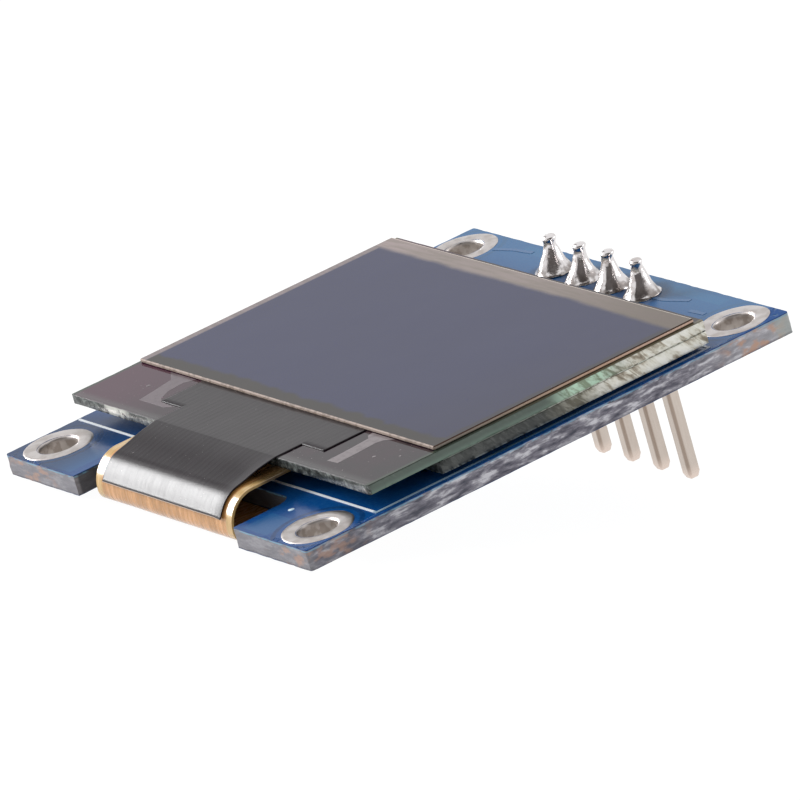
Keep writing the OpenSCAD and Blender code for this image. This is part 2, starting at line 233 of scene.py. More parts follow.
class Shading:
    """The shader nodes of a material or a world."""

    def __init__(self, owner, output):
        owner.use_nodes = True
        self.tree = owner.node_tree
        self.tree.nodes.clear()
        self.out = self.tree.nodes.new(output)

    def end_in(self, shader):
        """Let a shader be the one that is seen."""
        self.feed(self.out.inputs["Surface"], shader)

    def feed(self, socket, value):
        """Link a socket to a value, or set it to a number or a colour."""
        if isinstance(value, Val):
            self.tree.links.new(value.socket, socket)
        elif socket.type == "RGBA":
            socket.default_value = (*value, 1.0)[:4]
        else:
            socket.default_value = value

    def node(self, kind, settings=None, sockets=None, output=0):
        """Add a node: its settings first, then the values or links of its sockets."""
        made = self.tree.nodes.new(kind)
        for key, value in (settings or {}).items():
            if key == "stops":
                self.set_stops(made.color_ramp, value)
            else:
                setattr(made, key, value)
        for key, value in (sockets or {}).items():
            self.feed(made.inputs[key], value)
        return Val(self, made.outputs[output])

    def set_stops(self, ramp, stops):
        """Give a colour ramp its (position, colour) stops."""
        while len(ramp.elements) < len(stops):
            ramp.elements.new(1.0)
        for element, (position, tint) in zip(ramp.elements, stops):
            element.position = position
            element.color = (*tint, 1.0)

    def ray(self, kind):
        """1 on rays of a kind, such as Camera or Glossy, and 0 on others."""
        return self.node("ShaderNodeLightPath", output=f"Is {kind} Ray")


class Finish(Shading):
    """A procedural material round one Principled shader."""

    def __init__(self, name, **constants):
        self.material = bpy.data.materials.new(name)
        super().__init__(self.material, "ShaderNodeOutputMaterial")
        self.shader = self.tree.nodes.new("ShaderNodeBsdfPrincipled")
        self.end_in(Val(self, self.shader.outputs[0]))
        self.set(**constants)

    def set(self, **values):
        """Set or link sockets of the shader; base_color stands for Base Color."""
        for key, value in values.items():
            self.feed(self.shader.inputs[SHADER_SOCKETS[key]], value)

    def place(self):
        """Object coordinates in millimetres."""
        metres = self.node("ShaderNodeTexCoord", output="Object")
        return self.node("ShaderNodeVectorMath", {"operation": "SCALE"},
                         {0: metres, "Scale": 1 / MM})

    def axes(self, at):
        """The x, y and z of a place."""
        split = self.node("ShaderNodeSeparateXYZ", None, {0: at})
        return [Val(self, part) for part in split.socket.node.outputs]

    def grain(self, at, scale, stretch=(1, 1, 1), detail=3.0, rough=0.5, shift=0.0,
              warp=0.0):
        """Noise in features per millimetre, finer along the axes with a larger stretch."""
        moved = self.node(
            "ShaderNodeMapping", None,
            {"Vector": at, "Location": (shift, shift * 0.7, shift * 1.3),
             "Scale": tuple(scale * s for s in stretch)})
        return self.node(
            "ShaderNodeTexNoise", None,
            {"Vector": moved, "Scale": 1.0, "Detail": detail, "Roughness": rough,
             "Distortion": warp})

    def ramp(self, value, *stops):
        """A colour that follows a value through (position, colour) stops."""
        return self.node("ShaderNodeValToRGB", {"stops": stops}, {0: value})

    def rise(self, value, start, end):
        """0 up to start, 1 from end on; with start after end it falls instead."""
        return self.node(
            "ShaderNodeMapRange", {"interpolation_type": "SMOOTHSTEP"},
            {"Value": value, "From Min": start, "From Max": end})

    def band(self, value, low, high, soft):
        """1 between low and high, with soft shoulders."""
        return (self.rise(value, low - soft, low + soft)
                * self.rise(value, high + soft, high - soft))

    def blend(self, factor, first, second):
        """A colour between two."""
        return self.node("ShaderNodeMix", {"data_type": "RGBA"},
                         {0: factor, 6: first, 7: second}, output=2)

    def spot(self, x, y, centre, inner, outer):
        """1 within inner of an upright axis, falling to 0 at outer."""
        dx, dy = x - centre[0], y - centre[1]
        return self.rise((dx * dx + dy * dy) ** 0.5, outer, inner)

    def bump(self, height, depth):
        """Bump whose height 1 stands for a depth in millimetres."""
        self.set(normal=self.node(
            "ShaderNodeBump", None,
            {"Strength": 1.0, "Distance": depth * MM, "Height": height}, output="Normal"))


SHADER_SOCKETS = {
    "base_color": "Base Color", "roughness": "Roughness", "metallic": "Metallic",
    "ior": "IOR", "specular": "Specular IOR Level", "coat": "Coat Weight",
    "coat_roughness": "Coat Roughness", "normal": "Normal",
}
WHITE = (1.0, 1.0, 1.0)


# ---- finishes ----

# Copper pours under the mask: low, high and softness across and along, and how much shows.
POURS = (
    ((-8.2, 9.2, 0.15), (12.95, 13.62, 0.04), 1.0),
    ((-12.8, -7.9, 0.08), (-13.7, -11.45, 0.05), 0.8),
    ((7.8, 9.9, 0.10), (-13.7, -12.0, 0.05), 0.8),
)
# Tan stretches of the cut edge: their middle and the radii where they are full and gone.
TAN_SPOTS = (
    ((13.4, -13.7), 1.2, 4.2),
    ((BOARD_HIGH.x, 11.8), 0.8, 2.6),
    ((-11.3, BOARD_LOW.y), 1.0, 2.6),
)
# Outer radii of the light ring round a mounting hole and of the dark gap round that.
RING_RADIUS = 2.0
GAP_RADIUS = 2.25


def near_holes(f, x, y, radius):
    """1 nearer than a radius to any mounting hole, 0 further out."""
    return most_of(f.spot(x, y, hole, radius - 0.05, radius + 0.05) for hole in HOLES)


def board_mask(f, at, x, y, z, speck):
    """Solder mask on the faces, paler over copper and dark round the holes, with painted shadow
    round the pins, painted shade at the near left corner and painted light toward the far edge.
    """
    wander = f.grain(at, 0.9, detail=2, shift=3.0)
    pour = most_of(f.band(x, *across) * f.band(y, *along) * share
                   for across, along, share in POURS)
    on_back = f.rise(z, 0.3, 0.1)
    pour = pour.most(on_back * f.rise(wander, 0.46, 0.50) * 0.22)
    gap = near_holes(f, x, y, GAP_RADIUS) * (1 - near_holes(f, x, y, RING_RADIUS))
    mask = f.blend(pour * (1 - gap), colour("mask"), colour("mask_copper"))
    mask = f.blend(gap * 0.6, mask, (0.002, 0.02, 0.08))
    mask = f.blend(f.rise(speck, 0.35, 0.75) * 0.25, mask, (0.03, 0.13, 0.30))
    # Painted light: the mask is paler toward the far edge.
    far = f.rise(y, 8.5, 13.5)
    mask = f.blend(far * 0.55, mask, (0.044, 0.175, 0.34))
    # Painted shadow: the mask is darker round the foot of each pin.
    for pin in PINS:
        shade_round_pins = f.spot(x, y, pin, 1.15, 1.75)
        mask = f.blend(shade_round_pins * 0.6, mask, (0.003, 0.022, 0.075))
    # Painted shade: the mask is darker at the near left corner.
    near_left = f.rise(x, -7.0, -10.0) * f.rise(y, -8.0, -10.0)
    return f.blend(near_left * 0.75, mask, (0.001, 0.022, 0.075))


def board_edge(f, at, x, y, z, streak, fleck, tan_zone):
    """Cut edge of the laminate: fibre streaks that run along it, tan where it is worn."""
    top = BOARD_HIGH.z
    fibre = f.ramp(streak * 0.72 + fleck * 0.28,
                   (0.36, (0.078, 0.080, 0.105)), (0.45, (0.175, 0.168, 0.205)),
                   (0.52, colour("laminate")), (0.61, (0.70, 0.69, 0.74)))
    fibre = f.blend(f.rise(y, 7.0, 12.5) * 0.5, fibre, (0.62, 0.61, 0.64))
    front = f.rise(y, BOARD_LOW.y + 0.6, BOARD_LOW.y + 0.1)
    fibre = f.blend(front * 0.7, fibre, (0.31, 0.295, 0.305))
    # Painted shade: the notch walls under the ribbon's fold are near black.
    notch = (f.rise(abs(x), 8.2, 8.0) * f.rise(y, -8.8, -9.2)
             * f.rise(y, BOARD_LOW.y + 0.15, BOARD_LOW.y + 0.30))
    fibre = f.blend(notch * 0.9, fibre, (0.018, 0.017, 0.014))
    patch = f.rise(f.grain(at, 1.1, (1, 1, 1.8), detail=4, shift=21.0), 0.46, 0.60)
    fibre = f.blend(tan_zone * patch * 0.8, fibre, (0.60, 0.36, 0.25))
    fibre = f.blend(f.rise(y, -3.0, -13.0) * 0.42, fibre, (0.15, 0.155, 0.180))
    corner = f.rise(y, 12.7, 13.3) * f.rise(x, 12.0, 12.6)
    fibre = f.blend(corner * 0.6, fibre, (0.44, 0.49, 0.46))
    low_edge = f.rise(z, 0.16, 0.02)
    fibre = f.blend(low_edge * 0.45, fibre, (0.10, 0.10, 0.12))
    lip = f.band(z, top - 0.125, top - 0.065, 0.02) * f.rise(fleck, 0.40, 0.52)
    fibre = f.blend(lip * 0.7, fibre, (0.16, 0.42, 0.60))
    return f.blend(f.rise(z, top - 0.065, top - 0.03), fibre, colour("mask"))


def solder_mask_and_laminate():
    """Blue mask on the faces, mottled glass-fibre laminate on the cut edges."""
    f = Finish("board_laminate", ior=1.27)
    at = f.place()
    x, y, z = f.axes(at)
    speck = f.grain(at, 9.0, detail=2, shift=7.0)
    streak = f.grain(at, 1.15, (0.7, 0.7, 3.0), detail=4, rough=0.55, shift=1.0, warp=0.35)
    fleck = f.grain(at, 3.4, (0.7, 0.7, 2.6), detail=4, rough=0.6, shift=11.0)
    tan_zone = most_of(f.spot(x, y, *spot) for spot in TAN_SPOTS)
    mask = board_mask(f, at, x, y, z, speck)
    fibre = board_edge(f, at, x, y, z, streak, fleck, tan_zone)

    # The mask is chipped and fibres show beside the holes and along the rim.
    side = f.band(z, BOARD_LOW.z + 0.025, BOARD_HIGH.z - 0.02, 0.012)
    rim = f.rise(abs(x), BOARD_HIGH.x - 0.40, BOARD_HIGH.x - 0.03)
    rim = rim.most(f.rise(abs(y), BOARD_HIGH.y - 0.40, BOARD_HIGH.y - 0.02))
    chipped = rim * tan_zone * f.rise(f.grain(at, 2.4, detail=4, shift=31.0), 0.50, 0.60)
    bare = (f.rise(x + (fleck - 0.5) * 0.25, BOARD_HIGH.x - 0.25, BOARD_HIGH.x - 0.15)
            * f.rise(streak, 0.44, 0.56))
    ending = f.spot(x, y, BOARD_HIGH, 1.1, 1.9)
    side = side.most(chipped).most(bare * 0.6).most(ending * f.rise(fleck, 0.30, 0.44))
    f.set(base_color=f.blend(side, mask, fibre),
          roughness=side * 0.35 + 0.14 + speck * 0.06)
    f.bump(side * (streak * 0.7 + fleck * 0.5) + (1 - side) * speck * 0.05, 0.06)
    return f.material


def white_ink():
    """Printed ink, thin and a little ragged, with painted shade along the right side."""
    f = Finish("white_ink", roughness=0.45, ior=1.45)
    at = f.place()
    x, y, _ = f.axes(at)
    thin = f.grain(at, 6.0, detail=3)
    body = f.blend(f.rise(thin, 0.60, 0.75) * 0.5, colour("ink"), (0.55, 0.66, 0.78))
    # Painted shade: the ink along the right side is dimmed to blue-grey, most in the middle.
    wear_and_shade = f.ramp(f.rise(y, -9.0, 10.0), (0.0, (0.30, 0.42, 0.52)), (0.25, (0.030, 0.075, 0.11)),
                  (0.6, (0.055, 0.11, 0.17)), (0.85, (0.14, 0.17, 0.23)), (1.0, (0.34, 0.36, 0.40)))
    body = f.blend(f.rise(x, 13.0, 13.15), body, wear_and_shade)
    f.set(base_color=body)
    f.bump(thin, 0.01)
    return f.material


def tinned_pad():
    """Levelled solder on copper: satin, faintly lumpy, brown in the pits."""
    f = Finish("tinned_pads", metallic=1.0)
    at = f.place()
    z = f.axes(at)[2]
    lump = f.grain(at, 1.6, detail=3, shift=2.0)
    fine = f.grain(at, 8.0, detail=4, shift=5.0)
    wall = (f.rise(z, BOARD_HIGH.z - 0.06, BOARD_HIGH.z - 0.25)
            * f.rise(z, BOARD_LOW.z + 0.06, BOARD_LOW.z + 0.25))
    body = f.blend(f.rise(lump, 0.38, 0.66), (0.58, 0.545, 0.535), (0.45, 0.41, 0.39))
    pits = wall * f.rise(f.grain(at, 2.6, (1, 1, 0.7), detail=3, shift=9.0), 0.42, 0.56)
    body = f.blend(wall * 0.8, body, (0.50, 0.45, 0.41))
    body = f.blend(pits * 0.5, body, (0.22, 0.17, 0.14))
    f.set(base_color=body, roughness=fine * 0.16 + 0.28 + wall * 0.25)
    f.bump(lump * 0.6 + fine * 0.2, 0.025)
    return f.material


def solder():
    """Bright solder, with painted shade in cloudy patches toward the board."""
    f = Finish("solder", metallic=1.0)
    at = f.place()
    z = f.axes(at)[2]
    cloud = f.grain(at, 2.2, detail=3, shift=4.0)
    fine = f.grain(at, 12.0, detail=3, shift=6.0)
    body = f.blend(f.rise(cloud, 0.50, 0.72) * 0.6, colour("tin"), (0.46, 0.40, 0.38))
    # Painted shade: dark cloudy patches below about 0.75 mm over the board's top face.
    low = f.rise(z, BOARD_HIGH.z + 0.75, BOARD_HIGH.z + 0.05)
    body = f.blend(low * f.rise(cloud, 0.38, 0.55) * 0.8, body, (0.17, 0.14, 0.125))
    f.set(base_color=body, roughness=f.rise(cloud, 0.3, 0.8) * 0.16 + 0.12)
    f.bump(cloud * 0.7 + fine * 0.1, 0.035)
    return f.material


def pin_plating():
    """Warm tinned brass with fine drawing lines along the pin."""
    f = Finish("pin_metal", metallic=1.0)
    at = f.place()
    x, y, z = f.axes(at)
    drawn = f.grain(at, 9.0, (1, 1, 0.08), detail=3)
    cloud = f.grain(at, 1.3, (1, 1, 0.5), detail=2, shift=3.0)
    tip = f.rise(z, PIN_TIP + 0.80, PIN_TIP + 0.05)
    body = f.blend(f.rise(drawn, 0.3, 0.7) * 0.35, colour("pin"), (0.62, 0.56, 0.51))
    body = f.blend(f.rise(cloud, 0.45, 0.75) * 0.35, body, (0.44, 0.36, 0.30))
    # Painted shade: a dark line down each pin's corner toward +X and -Y.
    pitch = PINS[1].x - PINS[0].x
    across = (x - PINS[0].x + pitch / 2) % pitch - pitch / 2
    corner = f.band(across - (y - PINS[0].y), 0.50, 0.66, 0.05)
    body = f.blend(corner * 0.85, body, (0.30, 0.23, 0.185))
    body = f.blend(tip * 0.7, body, (0.80, 0.66, 0.58))
    f.set(base_color=body, roughness=drawn * 0.15 + 0.27)
    f.bump(drawn, 0.012)
    return f.material


def header_plastic():
    """Black moulded plastic with a faint moulding grain."""
    f = Finish("header_plastic", ior=1.48)
    at = f.place()
    skin = f.grain(at, 7.0, detail=5, rough=0.6)
    flow = f.grain(at, 0.7, (1, 1, 0.6), detail=2, shift=8.0)
    body = f.blend(f.rise(flow, 0.3, 0.7), (0.010, 0.010, 0.011), (0.020, 0.020, 0.022))
    f.set(base_color=body, roughness=skin * 0.18 + 0.30)
    f.bump(skin, 0.012)
    return f.material


def glass_side(f, x, y, z, body, top):
    """Ground glass edges: dark green near the ledge, chipped and pale far off."""
    side = f.rise(z, top, top - 0.04)
    leaning = f.node("ShaderNodeCombineXYZ", None, {0: x, 1: y + z * 0.7, 2: z})
    strokes = f.grain(leaning, 1.5, (1, 1.3, 0.55), detail=3, shift=4.0, warp=0.9)
    flakes = f.grain(leaning, 3.4, (1, 1.1, 0.8), detail=4, rough=0.6, shift=14.0, warp=0.6)
    cut = strokes * 0.68 + flakes * 0.32
    upper = f.rise(z, GLASS_LOW.z - 0.03, GLASS_LOW.z + 0.01)

    # Calm green glass over a dark rear glass near the ledge.
    calm = f.blend(f.rise(z, GLASS_HIGH.z - 0.22, GLASS_LOW.z),
                   (0.105, 0.135, 0.115), (0.150, 0.215, 0.175))
    calm = f.blend(upper, f.blend(f.rise(flakes, 0.42, 0.66), (0.030, 0.034, 0.033),
                                  (0.072, 0.078, 0.074)), calm)
    mint = f.band(y, 1.1, 4.4, 1.0) * upper
    calm = f.blend(mint, calm, f.blend(f.rise(cut, 0.42, 0.56), (0.26, 0.33, 0.23),
                                       (0.55, 0.76, 0.60)))
    rear = f.rise(y, -0.5, 2.5) * (1 - upper)
    calm = f.blend(rear, calm, f.blend(f.rise(cut, 0.44, 0.58), (0.13, 0.12, 0.085),
                                       (0.34, 0.33, 0.27)))
    chipped = f.ramp(cut,
                     (0.37, (0.24, 0.20, 0.145)), (0.44, (0.50, 0.45, 0.36)),
                     (0.49, (0.78, 0.76, 0.66)), (0.59, (0.94, 0.93, 0.86)))
    edge = f.blend(f.rise(y - upper * 1.3 + (flakes - 0.5) * 2.0, 2.0, 4.4), calm, chipped)
    base_line = f.rise(z, REAR_LOW.z + 0.10, REAR_LOW.z + 0.02) * f.rise(flakes, 0.42, 0.52)
    edge = f.blend(base_line * 0.5, edge, (0.20, 0.24, 0.26))

    # The edge under the ledge is frosted.
    front = f.rise(y, GLASS_LOW.y + 0.15, GLASS_LOW.y + 0.03)
    frost = f.ramp(flakes * 0.6 + strokes * 0.4,
                   (0.40, (0.020, 0.024, 0.024)), (0.52, (0.065, 0.072, 0.070)),
                   (0.62, (0.20, 0.22, 0.21)), (0.74, (0.62, 0.64, 0.60)))
    worn_end = f.band(x, -10.4, -8.3, 0.5) * f.rise(cut, 0.40, 0.52)
    frost = f.blend(worn_end * 0.8, frost, (0.66, 0.66, 0.60))
    edge = f.blend(front, edge, frost)
    return f.blend(side, body, edge), side, cut


def front_glass():
    """Front glass: dark lilac ledge with fine dust, and ground edges."""
    f = Finish("front_glass", ior=1.34)
    at = f.place()
    x, y, z = f.axes(at)
    smear = f.grain(at, 0.5, detail=2, shift=1.0)
    body = f.blend(f.rise(smear, 0.3, 0.7), colour("ledge"), (0.012, 0.008, 0.012))
    body = f.blend(f.rise(x, -4.0, -12.0), body, (0.056, 0.014, 0.034))
    # Painted light: a paler band along the ledge's front edge.
    body = f.blend(f.rise(y, GLASS_LOW.y + 0.60, GLASS_LOW.y + 0.13) * 0.5, body,
                   (0.10, 0.10, 0.10))
    shelf = f.blend(f.rise(y, -4.0, 4.0), (0.030, 0.045, 0.032), (0.12, 0.105, 0.065))
    body = f.blend(f.rise(abs(x), FILM_HIGH.x - 0.07, FILM_HIGH.x + 0.01), body, shelf)
    dust = f.rise(f.grain(at, 7.0, detail=1, shift=17.0), 0.74, 0.80)
    body = f.blend(dust * 0.5, body, (0.35, 0.33, 0.33))
    seen, side, cut = glass_side(f, x, y, z, body, GLASS_HIGH.z - 0.01)
    lip = f.rise(y, GLASS_LOW.y + 0.05, GLASS_LOW.y + 0.03) * (1 - side)
    f.set(base_color=seen, roughness=side * 0.16 + lip * 0.4 + 0.06)
    f.bump(side * cut, 0.06)
    return f.material


def rear_glass():
    """Rear glass, darker than the front one where the foam lies behind it."""
    f = Finish("rear_glass", ior=1.45)
    x, y, z = f.axes(f.place())
    seen, side, cut = glass_side(f, x, y, z, (0.05, 0.055, 0.052), REAR_HIGH.z)
    f.set(base_color=seen, roughness=side * 0.2 + 0.08)
    f.bump(side * cut, 0.06)
    return f.material


def seal_resin():
    """Cured resin that joins the two glasses."""
    f = Finish("seal_resin", roughness=0.35)
    at = f.place()
    y = f.axes(at)[1]
    lump = f.grain(at, 3.0, detail=3)
    near = f.blend(f.rise(lump, 0.35, 0.65), (0.10, 0.12, 0.105), (0.17, 0.19, 0.165))
    far = f.blend(f.rise(lump, 0.40, 0.60), (0.22, 0.21, 0.16), (0.66, 0.68, 0.60))
    f.set(base_color=f.blend(f.rise(y, -2.0, 3.5), near, far))
    f.bump(lump, 0.02)
    return f.material


def getter_white():
    """Pale absorbent sheet inside the panel."""
    f = Finish("getter_white", roughness=0.8)
    at = f.place()
    felt = f.grain(at, 8.0, detail=5, rough=0.7)
    f.set(base_color=f.blend(felt, (0.62, 0.60, 0.54), (0.86, 0.84, 0.78)))
    f.bump(felt, 0.03)
    return f.material


def display_layers():
    """Thin dark layers that make the picture."""
    f = Finish("display_film", roughness=0.25)
    at = f.place()
    rows = f.grain(at, 6.0, (0.05, 2.0, 1), detail=1)
    f.set(base_color=f.blend(rows, (0.010, 0.012, 0.035), (0.022, 0.024, 0.060)))
    return f.material


def foam_tape():
    """Dark closed-cell foam tape."""
    f = Finish("foam_tape", roughness=0.9)
    at = f.place()
    cells = f.node("ShaderNodeTexVoronoi", None, {"Vector": at, "Scale": 9.0},
                   output="Distance")
    f.set(base_color=f.blend(cells, (0.012, 0.012, 0.014), (0.045, 0.045, 0.050)))
    f.bump(cells, 0.05)
    return f.material


def polarizer_film():
    """Polarizing film: dark window, pale soft band at the far edge, painted highlights and shade on
    the cut edges.
    """
    f = Finish("polarizer_film", ior=1.33)
    at = f.place()
    x, y, z = f.axes(at)
    low, high = FILM_LOW, FILM_HIGH
    sheen = f.grain(at, 0.25, detail=2, shift=2.0)
    window = f.blend(f.rise(sheen, 0.3, 0.7) * 0.4, colour("window"), (0.007, 0.011, 0.068))
    window = f.blend(f.rise(x - y * 0.4, 6.0, 14.0) * 0.5, window, (0.004, 0.004, 0.035))

    # Pale border band along the far edge, and a thin one along the left edge.
    wave = f.grain(at, 0.7, detail=2, shift=9.0)
    streaks = f.grain(at, 2.2, (0.25, 2.4, 1), detail=3, shift=19.0)
    inner = high.y - 1.14 - f.rise(x, 4.0, 13.0) * 0.22 + (wave - 0.5) * 0.25
    far = f.rise(y - inner, -0.16, 0.26)
    border = f.blend(f.rise(x, -2.0, 13.0), colour("border"), (0.130, 0.098, 0.080))
    border = f.blend(f.rise(x, -7.0, -13.0) * 0.8, border, (0.32, 0.25, 0.245))
    border = f.blend(f.rise(streaks, 0.35, 0.7) * 0.35, border, (0.12, 0.105, 0.065))
    left = f.rise(x, low.x + 0.62, low.x + 0.42) * 0.75
    body = f.blend(far.most(left), window, border)

    # Cut edges: painted highlights on the near and far rims and on the cut faces, painted shade
    # along the side rims and at the foot of the cut faces.
    rim_near = f.rise(y, low.y + 0.075, low.y + 0.045)
    rim_far = f.rise(y, high.y - 0.10, high.y - 0.04)
    rim_side = f.rise(abs(x), high.x - 0.075, high.x - 0.045)
    broken = f.rise(f.grain(at, 3.4, detail=3, shift=13.0), 0.40, 0.52)
    grey = f.rise(y + (wave - 0.5) * 0.9, low.y + 0.95, low.y + 0.65)
    grey = grey.most(f.rise(x + (wave - 0.5) * 0.5, high.x - 0.55, high.x - 0.3) * 0.7)
    body = f.blend(grey * f.rise(far.most(left), 0.4, 0.1), body, (0.010, 0.005, 0.003))
    body = f.blend(rim_near * (broken * 0.4 + 0.6), body, (0.34, 0.26, 0.22))
    body = f.blend(rim_far, body, (0.92, 0.80, 0.70))
    body = f.blend(rim_side, body, (0.050, 0.020, 0.010))
    cut = f.rise(z, high.z - 0.045, high.z - 0.055)
    pale = f.blend(f.rise(broken, 0.2, 0.8), (0.26, 0.20, 0.165), (0.36, 0.29, 0.25))
    gold = f.ramp(f.rise(y, -6.0, 8.0), (0.0, (0.23, 0.20, 0.17)), (0.45, (0.56, 0.41, 0.31)),
                  (0.8, (0.66, 0.45, 0.33)), (1.0, (0.74, 0.52, 0.41)))
    gold = f.blend(f.rise(y, low.y + 0.12, low.y + 0.04), gold, pale)
    body = f.blend(cut, body, gold)
    foot = f.rise(z, low.z + 0.055, low.z + 0.03)
    body = f.blend(foot, body, f.blend(f.rise(y, -3.0, 3.0), (0.085, 0.075, 0.062),
                                       (0.20, 0.15, 0.11)))
    f.set(base_color=body, roughness=cut * 0.2 + rim_near * 0.5 + 0.10)
    f.bump(sheen, 0.01)
    return f.material


def chip_silicon():
    """Polished grey silicon."""
    f = Finish("silicon", roughness=0.12, metallic=0.4)
    at = f.place()
    cloud = f.grain(at, 2.0, detail=3)
    f.set(base_color=f.blend(cloud, (0.045, 0.045, 0.055), (0.085, 0.085, 0.095)))
    return f.material


def metal_mark():
    """Thin metal marks on the ledge."""
    f = Finish("ledge_marks", ior=1.34)
    at = f.place()
    x = f.axes(at)[0]
    wear_and_shade = f.grain(at, 3.0, detail=4, shift=4.0)
    left = f.rise(x, 1.0, -1.0)
    body = f.blend(left, (0.215, 0.185, 0.195), (0.135, 0.105, 0.120))
    body = f.blend(f.rise(wear_and_shade, 0.45, 0.7) * 0.35, body, (0.08, 0.06, 0.07))
    f.set(base_color=body, roughness=wear_and_shade * 0.1 + 0.12)
    return f.material


def conductor_ridges(f, x):
    """Repeating ridge across the ribbon: 1 on a conductor, 0 between two."""
    saw = (x / (sizes().conductor_pitch / MM)) % 1.0
    return f.band(saw, 0.28, 0.72, 0.14)


def ribbon_film():
    """Amber film with copper conductors showing through, gold at the cut edges."""
    f = Finish("polyimide_ribbon", ior=1.45, coat_roughness=0.12)
    at = f.place()
    x, y, z = f.axes(at)
    ridge = conductor_ridges(f, x)
    tint = f.grain(at, 1.1, (1.8, 0.5, 0.5), detail=3, shift=3.0)
    fine = f.grain(at, 5.0, (2.5, 0.3, 0.3), detail=3, shift=8.0)
    body = f.blend(f.rise(tint, 0.35, 0.68), colour("ribbon"), (0.55, 0.27, 0.09))
    body = f.blend(ridge * f.rise(tint, 0.4, 0.6) * 0.5, body, (0.74, 0.40, 0.19))
    body = f.blend(f.rise(fine, 0.55, 0.75) * 0.4, body, (0.40, 0.19, 0.050))
    front = f.rise(z, 0.1, 0.3)
    edge = f.rise(abs(x), TAPE_SIDE + 0.15, TAPE_SIDE + 0.32) * f.rise(y, -9.3, -9.6)
    edge = edge * front.most(f.rise(y, -11.6, -11.8))
    body = f.blend(edge * 0.65, body, (0.58, 0.42, 0.17))
    # Painted shade: near black on the front where the ribbon runs under the tape's right edge, next
    # to the glass.
    shade_under_tape = f.rise(x, TAPE_SIDE - 1.0, TAPE_SIDE - 0.4) * f.rise(y, -11.7, -10.8) * front
    body = f.blend(shade_under_tape * 0.85, body, (0.035, 0.020, 0.008))
    f.set(base_color=body, roughness=fine * 0.14 + 0.20, coat=0.5)
    f.bump(fine * 0.5 + ridge * 0.4, 0.01)
    return f.material


def shield_skin():
    """Dark satin tape with the relief of what lies beneath it."""
    f = Finish("shield_tape", ior=1.39)
    at = f.place()
    x, _, z = f.axes(at)
    ridge = conductor_ridges(f, x)
    brushed = f.grain(at, 5.0, (1.8, 0.12, 0.12), detail=4, rough=0.6, shift=2.0)
    blotch = f.grain(at, 1.3, detail=3, shift=6.0)
    body = f.blend(f.rise(brushed, 0.35, 0.7) * 0.6, colour("tape"), (0.012, 0.008, 0.012))
    body = f.blend(ridge * f.rise(blotch, 0.4, 0.7) * 0.3, body, (0.022, 0.014, 0.020))
    speck = f.rise(f.grain(at, 9.0, detail=1, shift=15.0), 0.76, 0.82)
    body = f.blend(speck * 0.6, body, (0.4, 0.38, 0.38))
    # Painted light: the tape's end wall is pale amber instead of dark.
    end = f.rise(z, TAPE_END + 0.080, TAPE_END + 0.055)
    body = f.blend(end, body, (0.50, 0.40, 0.33))
    f.set(base_color=body, roughness=brushed * 0.14 + 0.25)
    f.bump(brushed * 0.8 + ridge * 0.2, 0.007)
    return f.material


def resistor_ceramic():
    """Black glazed resistor body."""
    f = Finish("resistor_ceramic", ior=1.5)
    at = f.place()
    glaze = f.grain(at, 4.0, detail=4)
    f.set(base_color=f.blend(glaze, (0.012, 0.012, 0.014), (0.035, 0.035, 0.038)),
          roughness=glaze * 0.2 + 0.15)
    f.bump(glaze, 0.02)
    return f.material


def capacitor_ceramic():
    """Tan fired ceramic."""
    f = Finish("capacitor_ceramic", roughness=0.55)
    at = f.place()
    fired = f.grain(at, 5.0, detail=5, rough=0.65)
    f.set(base_color=f.blend(fired, (0.34, 0.23, 0.13), (0.55, 0.40, 0.26)))
    f.bump(fired, 0.03)
    return f.material


def moulded_epoxy():
    """Black moulding compound, finely pitted."""
    f = Finish("regulator_epoxy", ior=1.5)
    at = f.place()
    pits = f.grain(at, 14.0, detail=4, rough=0.7)
    f.set(base_color=f.blend(pits, (0.010, 0.010, 0.011), (0.030, 0.030, 0.032)),
          roughness=pits * 0.25 + 0.42)
    f.bump(pits, 0.015)
    return f.material


def covered_via():
    """Drilled via under a glossy film of mask, coloured pale as a painted highlight."""
    f = Finish("via_cover", ior=1.45)
    at = f.place()
    tone = f.grain(at, 5.0, detail=2)
    # Painted highlight: the via is pale blue-white.
    f.set(base_color=f.blend(f.rise(tone, 0.4, 0.65), (0.40, 0.62, 0.78), (0.75, 0.88, 0.95)),
          roughness=0.16)
    return f.material


def raised_mask():
    """Mask over a copper track: a shade paler than the face round it."""
    f = Finish("mask_on_track", ior=1.45)
    at = f.place()
    speck = f.grain(at, 9.0, detail=2, shift=7.0)
    body = f.blend(f.rise(speck, 0.35, 0.75) * 0.4, colour("mask_copper"), (0.03, 0.15, 0.33))
    f.set(base_color=body, roughness=speck * 0.06 + 0.16)
    return f.material


MAKERS = {
    "board_laminate": solder_mask_and_laminate, "white_ink": white_ink,
    "tinned_pads": tinned_pad, "header_plastic": header_plastic,
    "pin_metal": pin_plating, "solder": solder, "foam_tape": foam_tape,
    "rear_glass": rear_glass, "getter_white": getter_white, "seal_resin": seal_resin,
    "display_film": display_layers, "front_glass": front_glass,
    "polarizer_film": polarizer_film, "silicon": chip_silicon,
    "polyimide_ribbon": ribbon_film, "shield_tape": shield_skin,
    "resistor_ceramic": resistor_ceramic, "capacitor_ceramic": capacitor_ceramic,
    "regulator_epoxy": moulded_epoxy, "ledge_marks": metal_mark,
    "mask_on_track": raised_mask, "via_cover": covered_via,
}
MADE = {}


def finish(name):
    """The material of that name, built on first use."""
    if name not in MADE:
        MADE[name] = MAKERS[name]()
    return MADE[name]


# ---- mesh building ----

# A face whose normal is closer to an axis than this stays flat-shaded.
FLAT_FACE = 0.99999


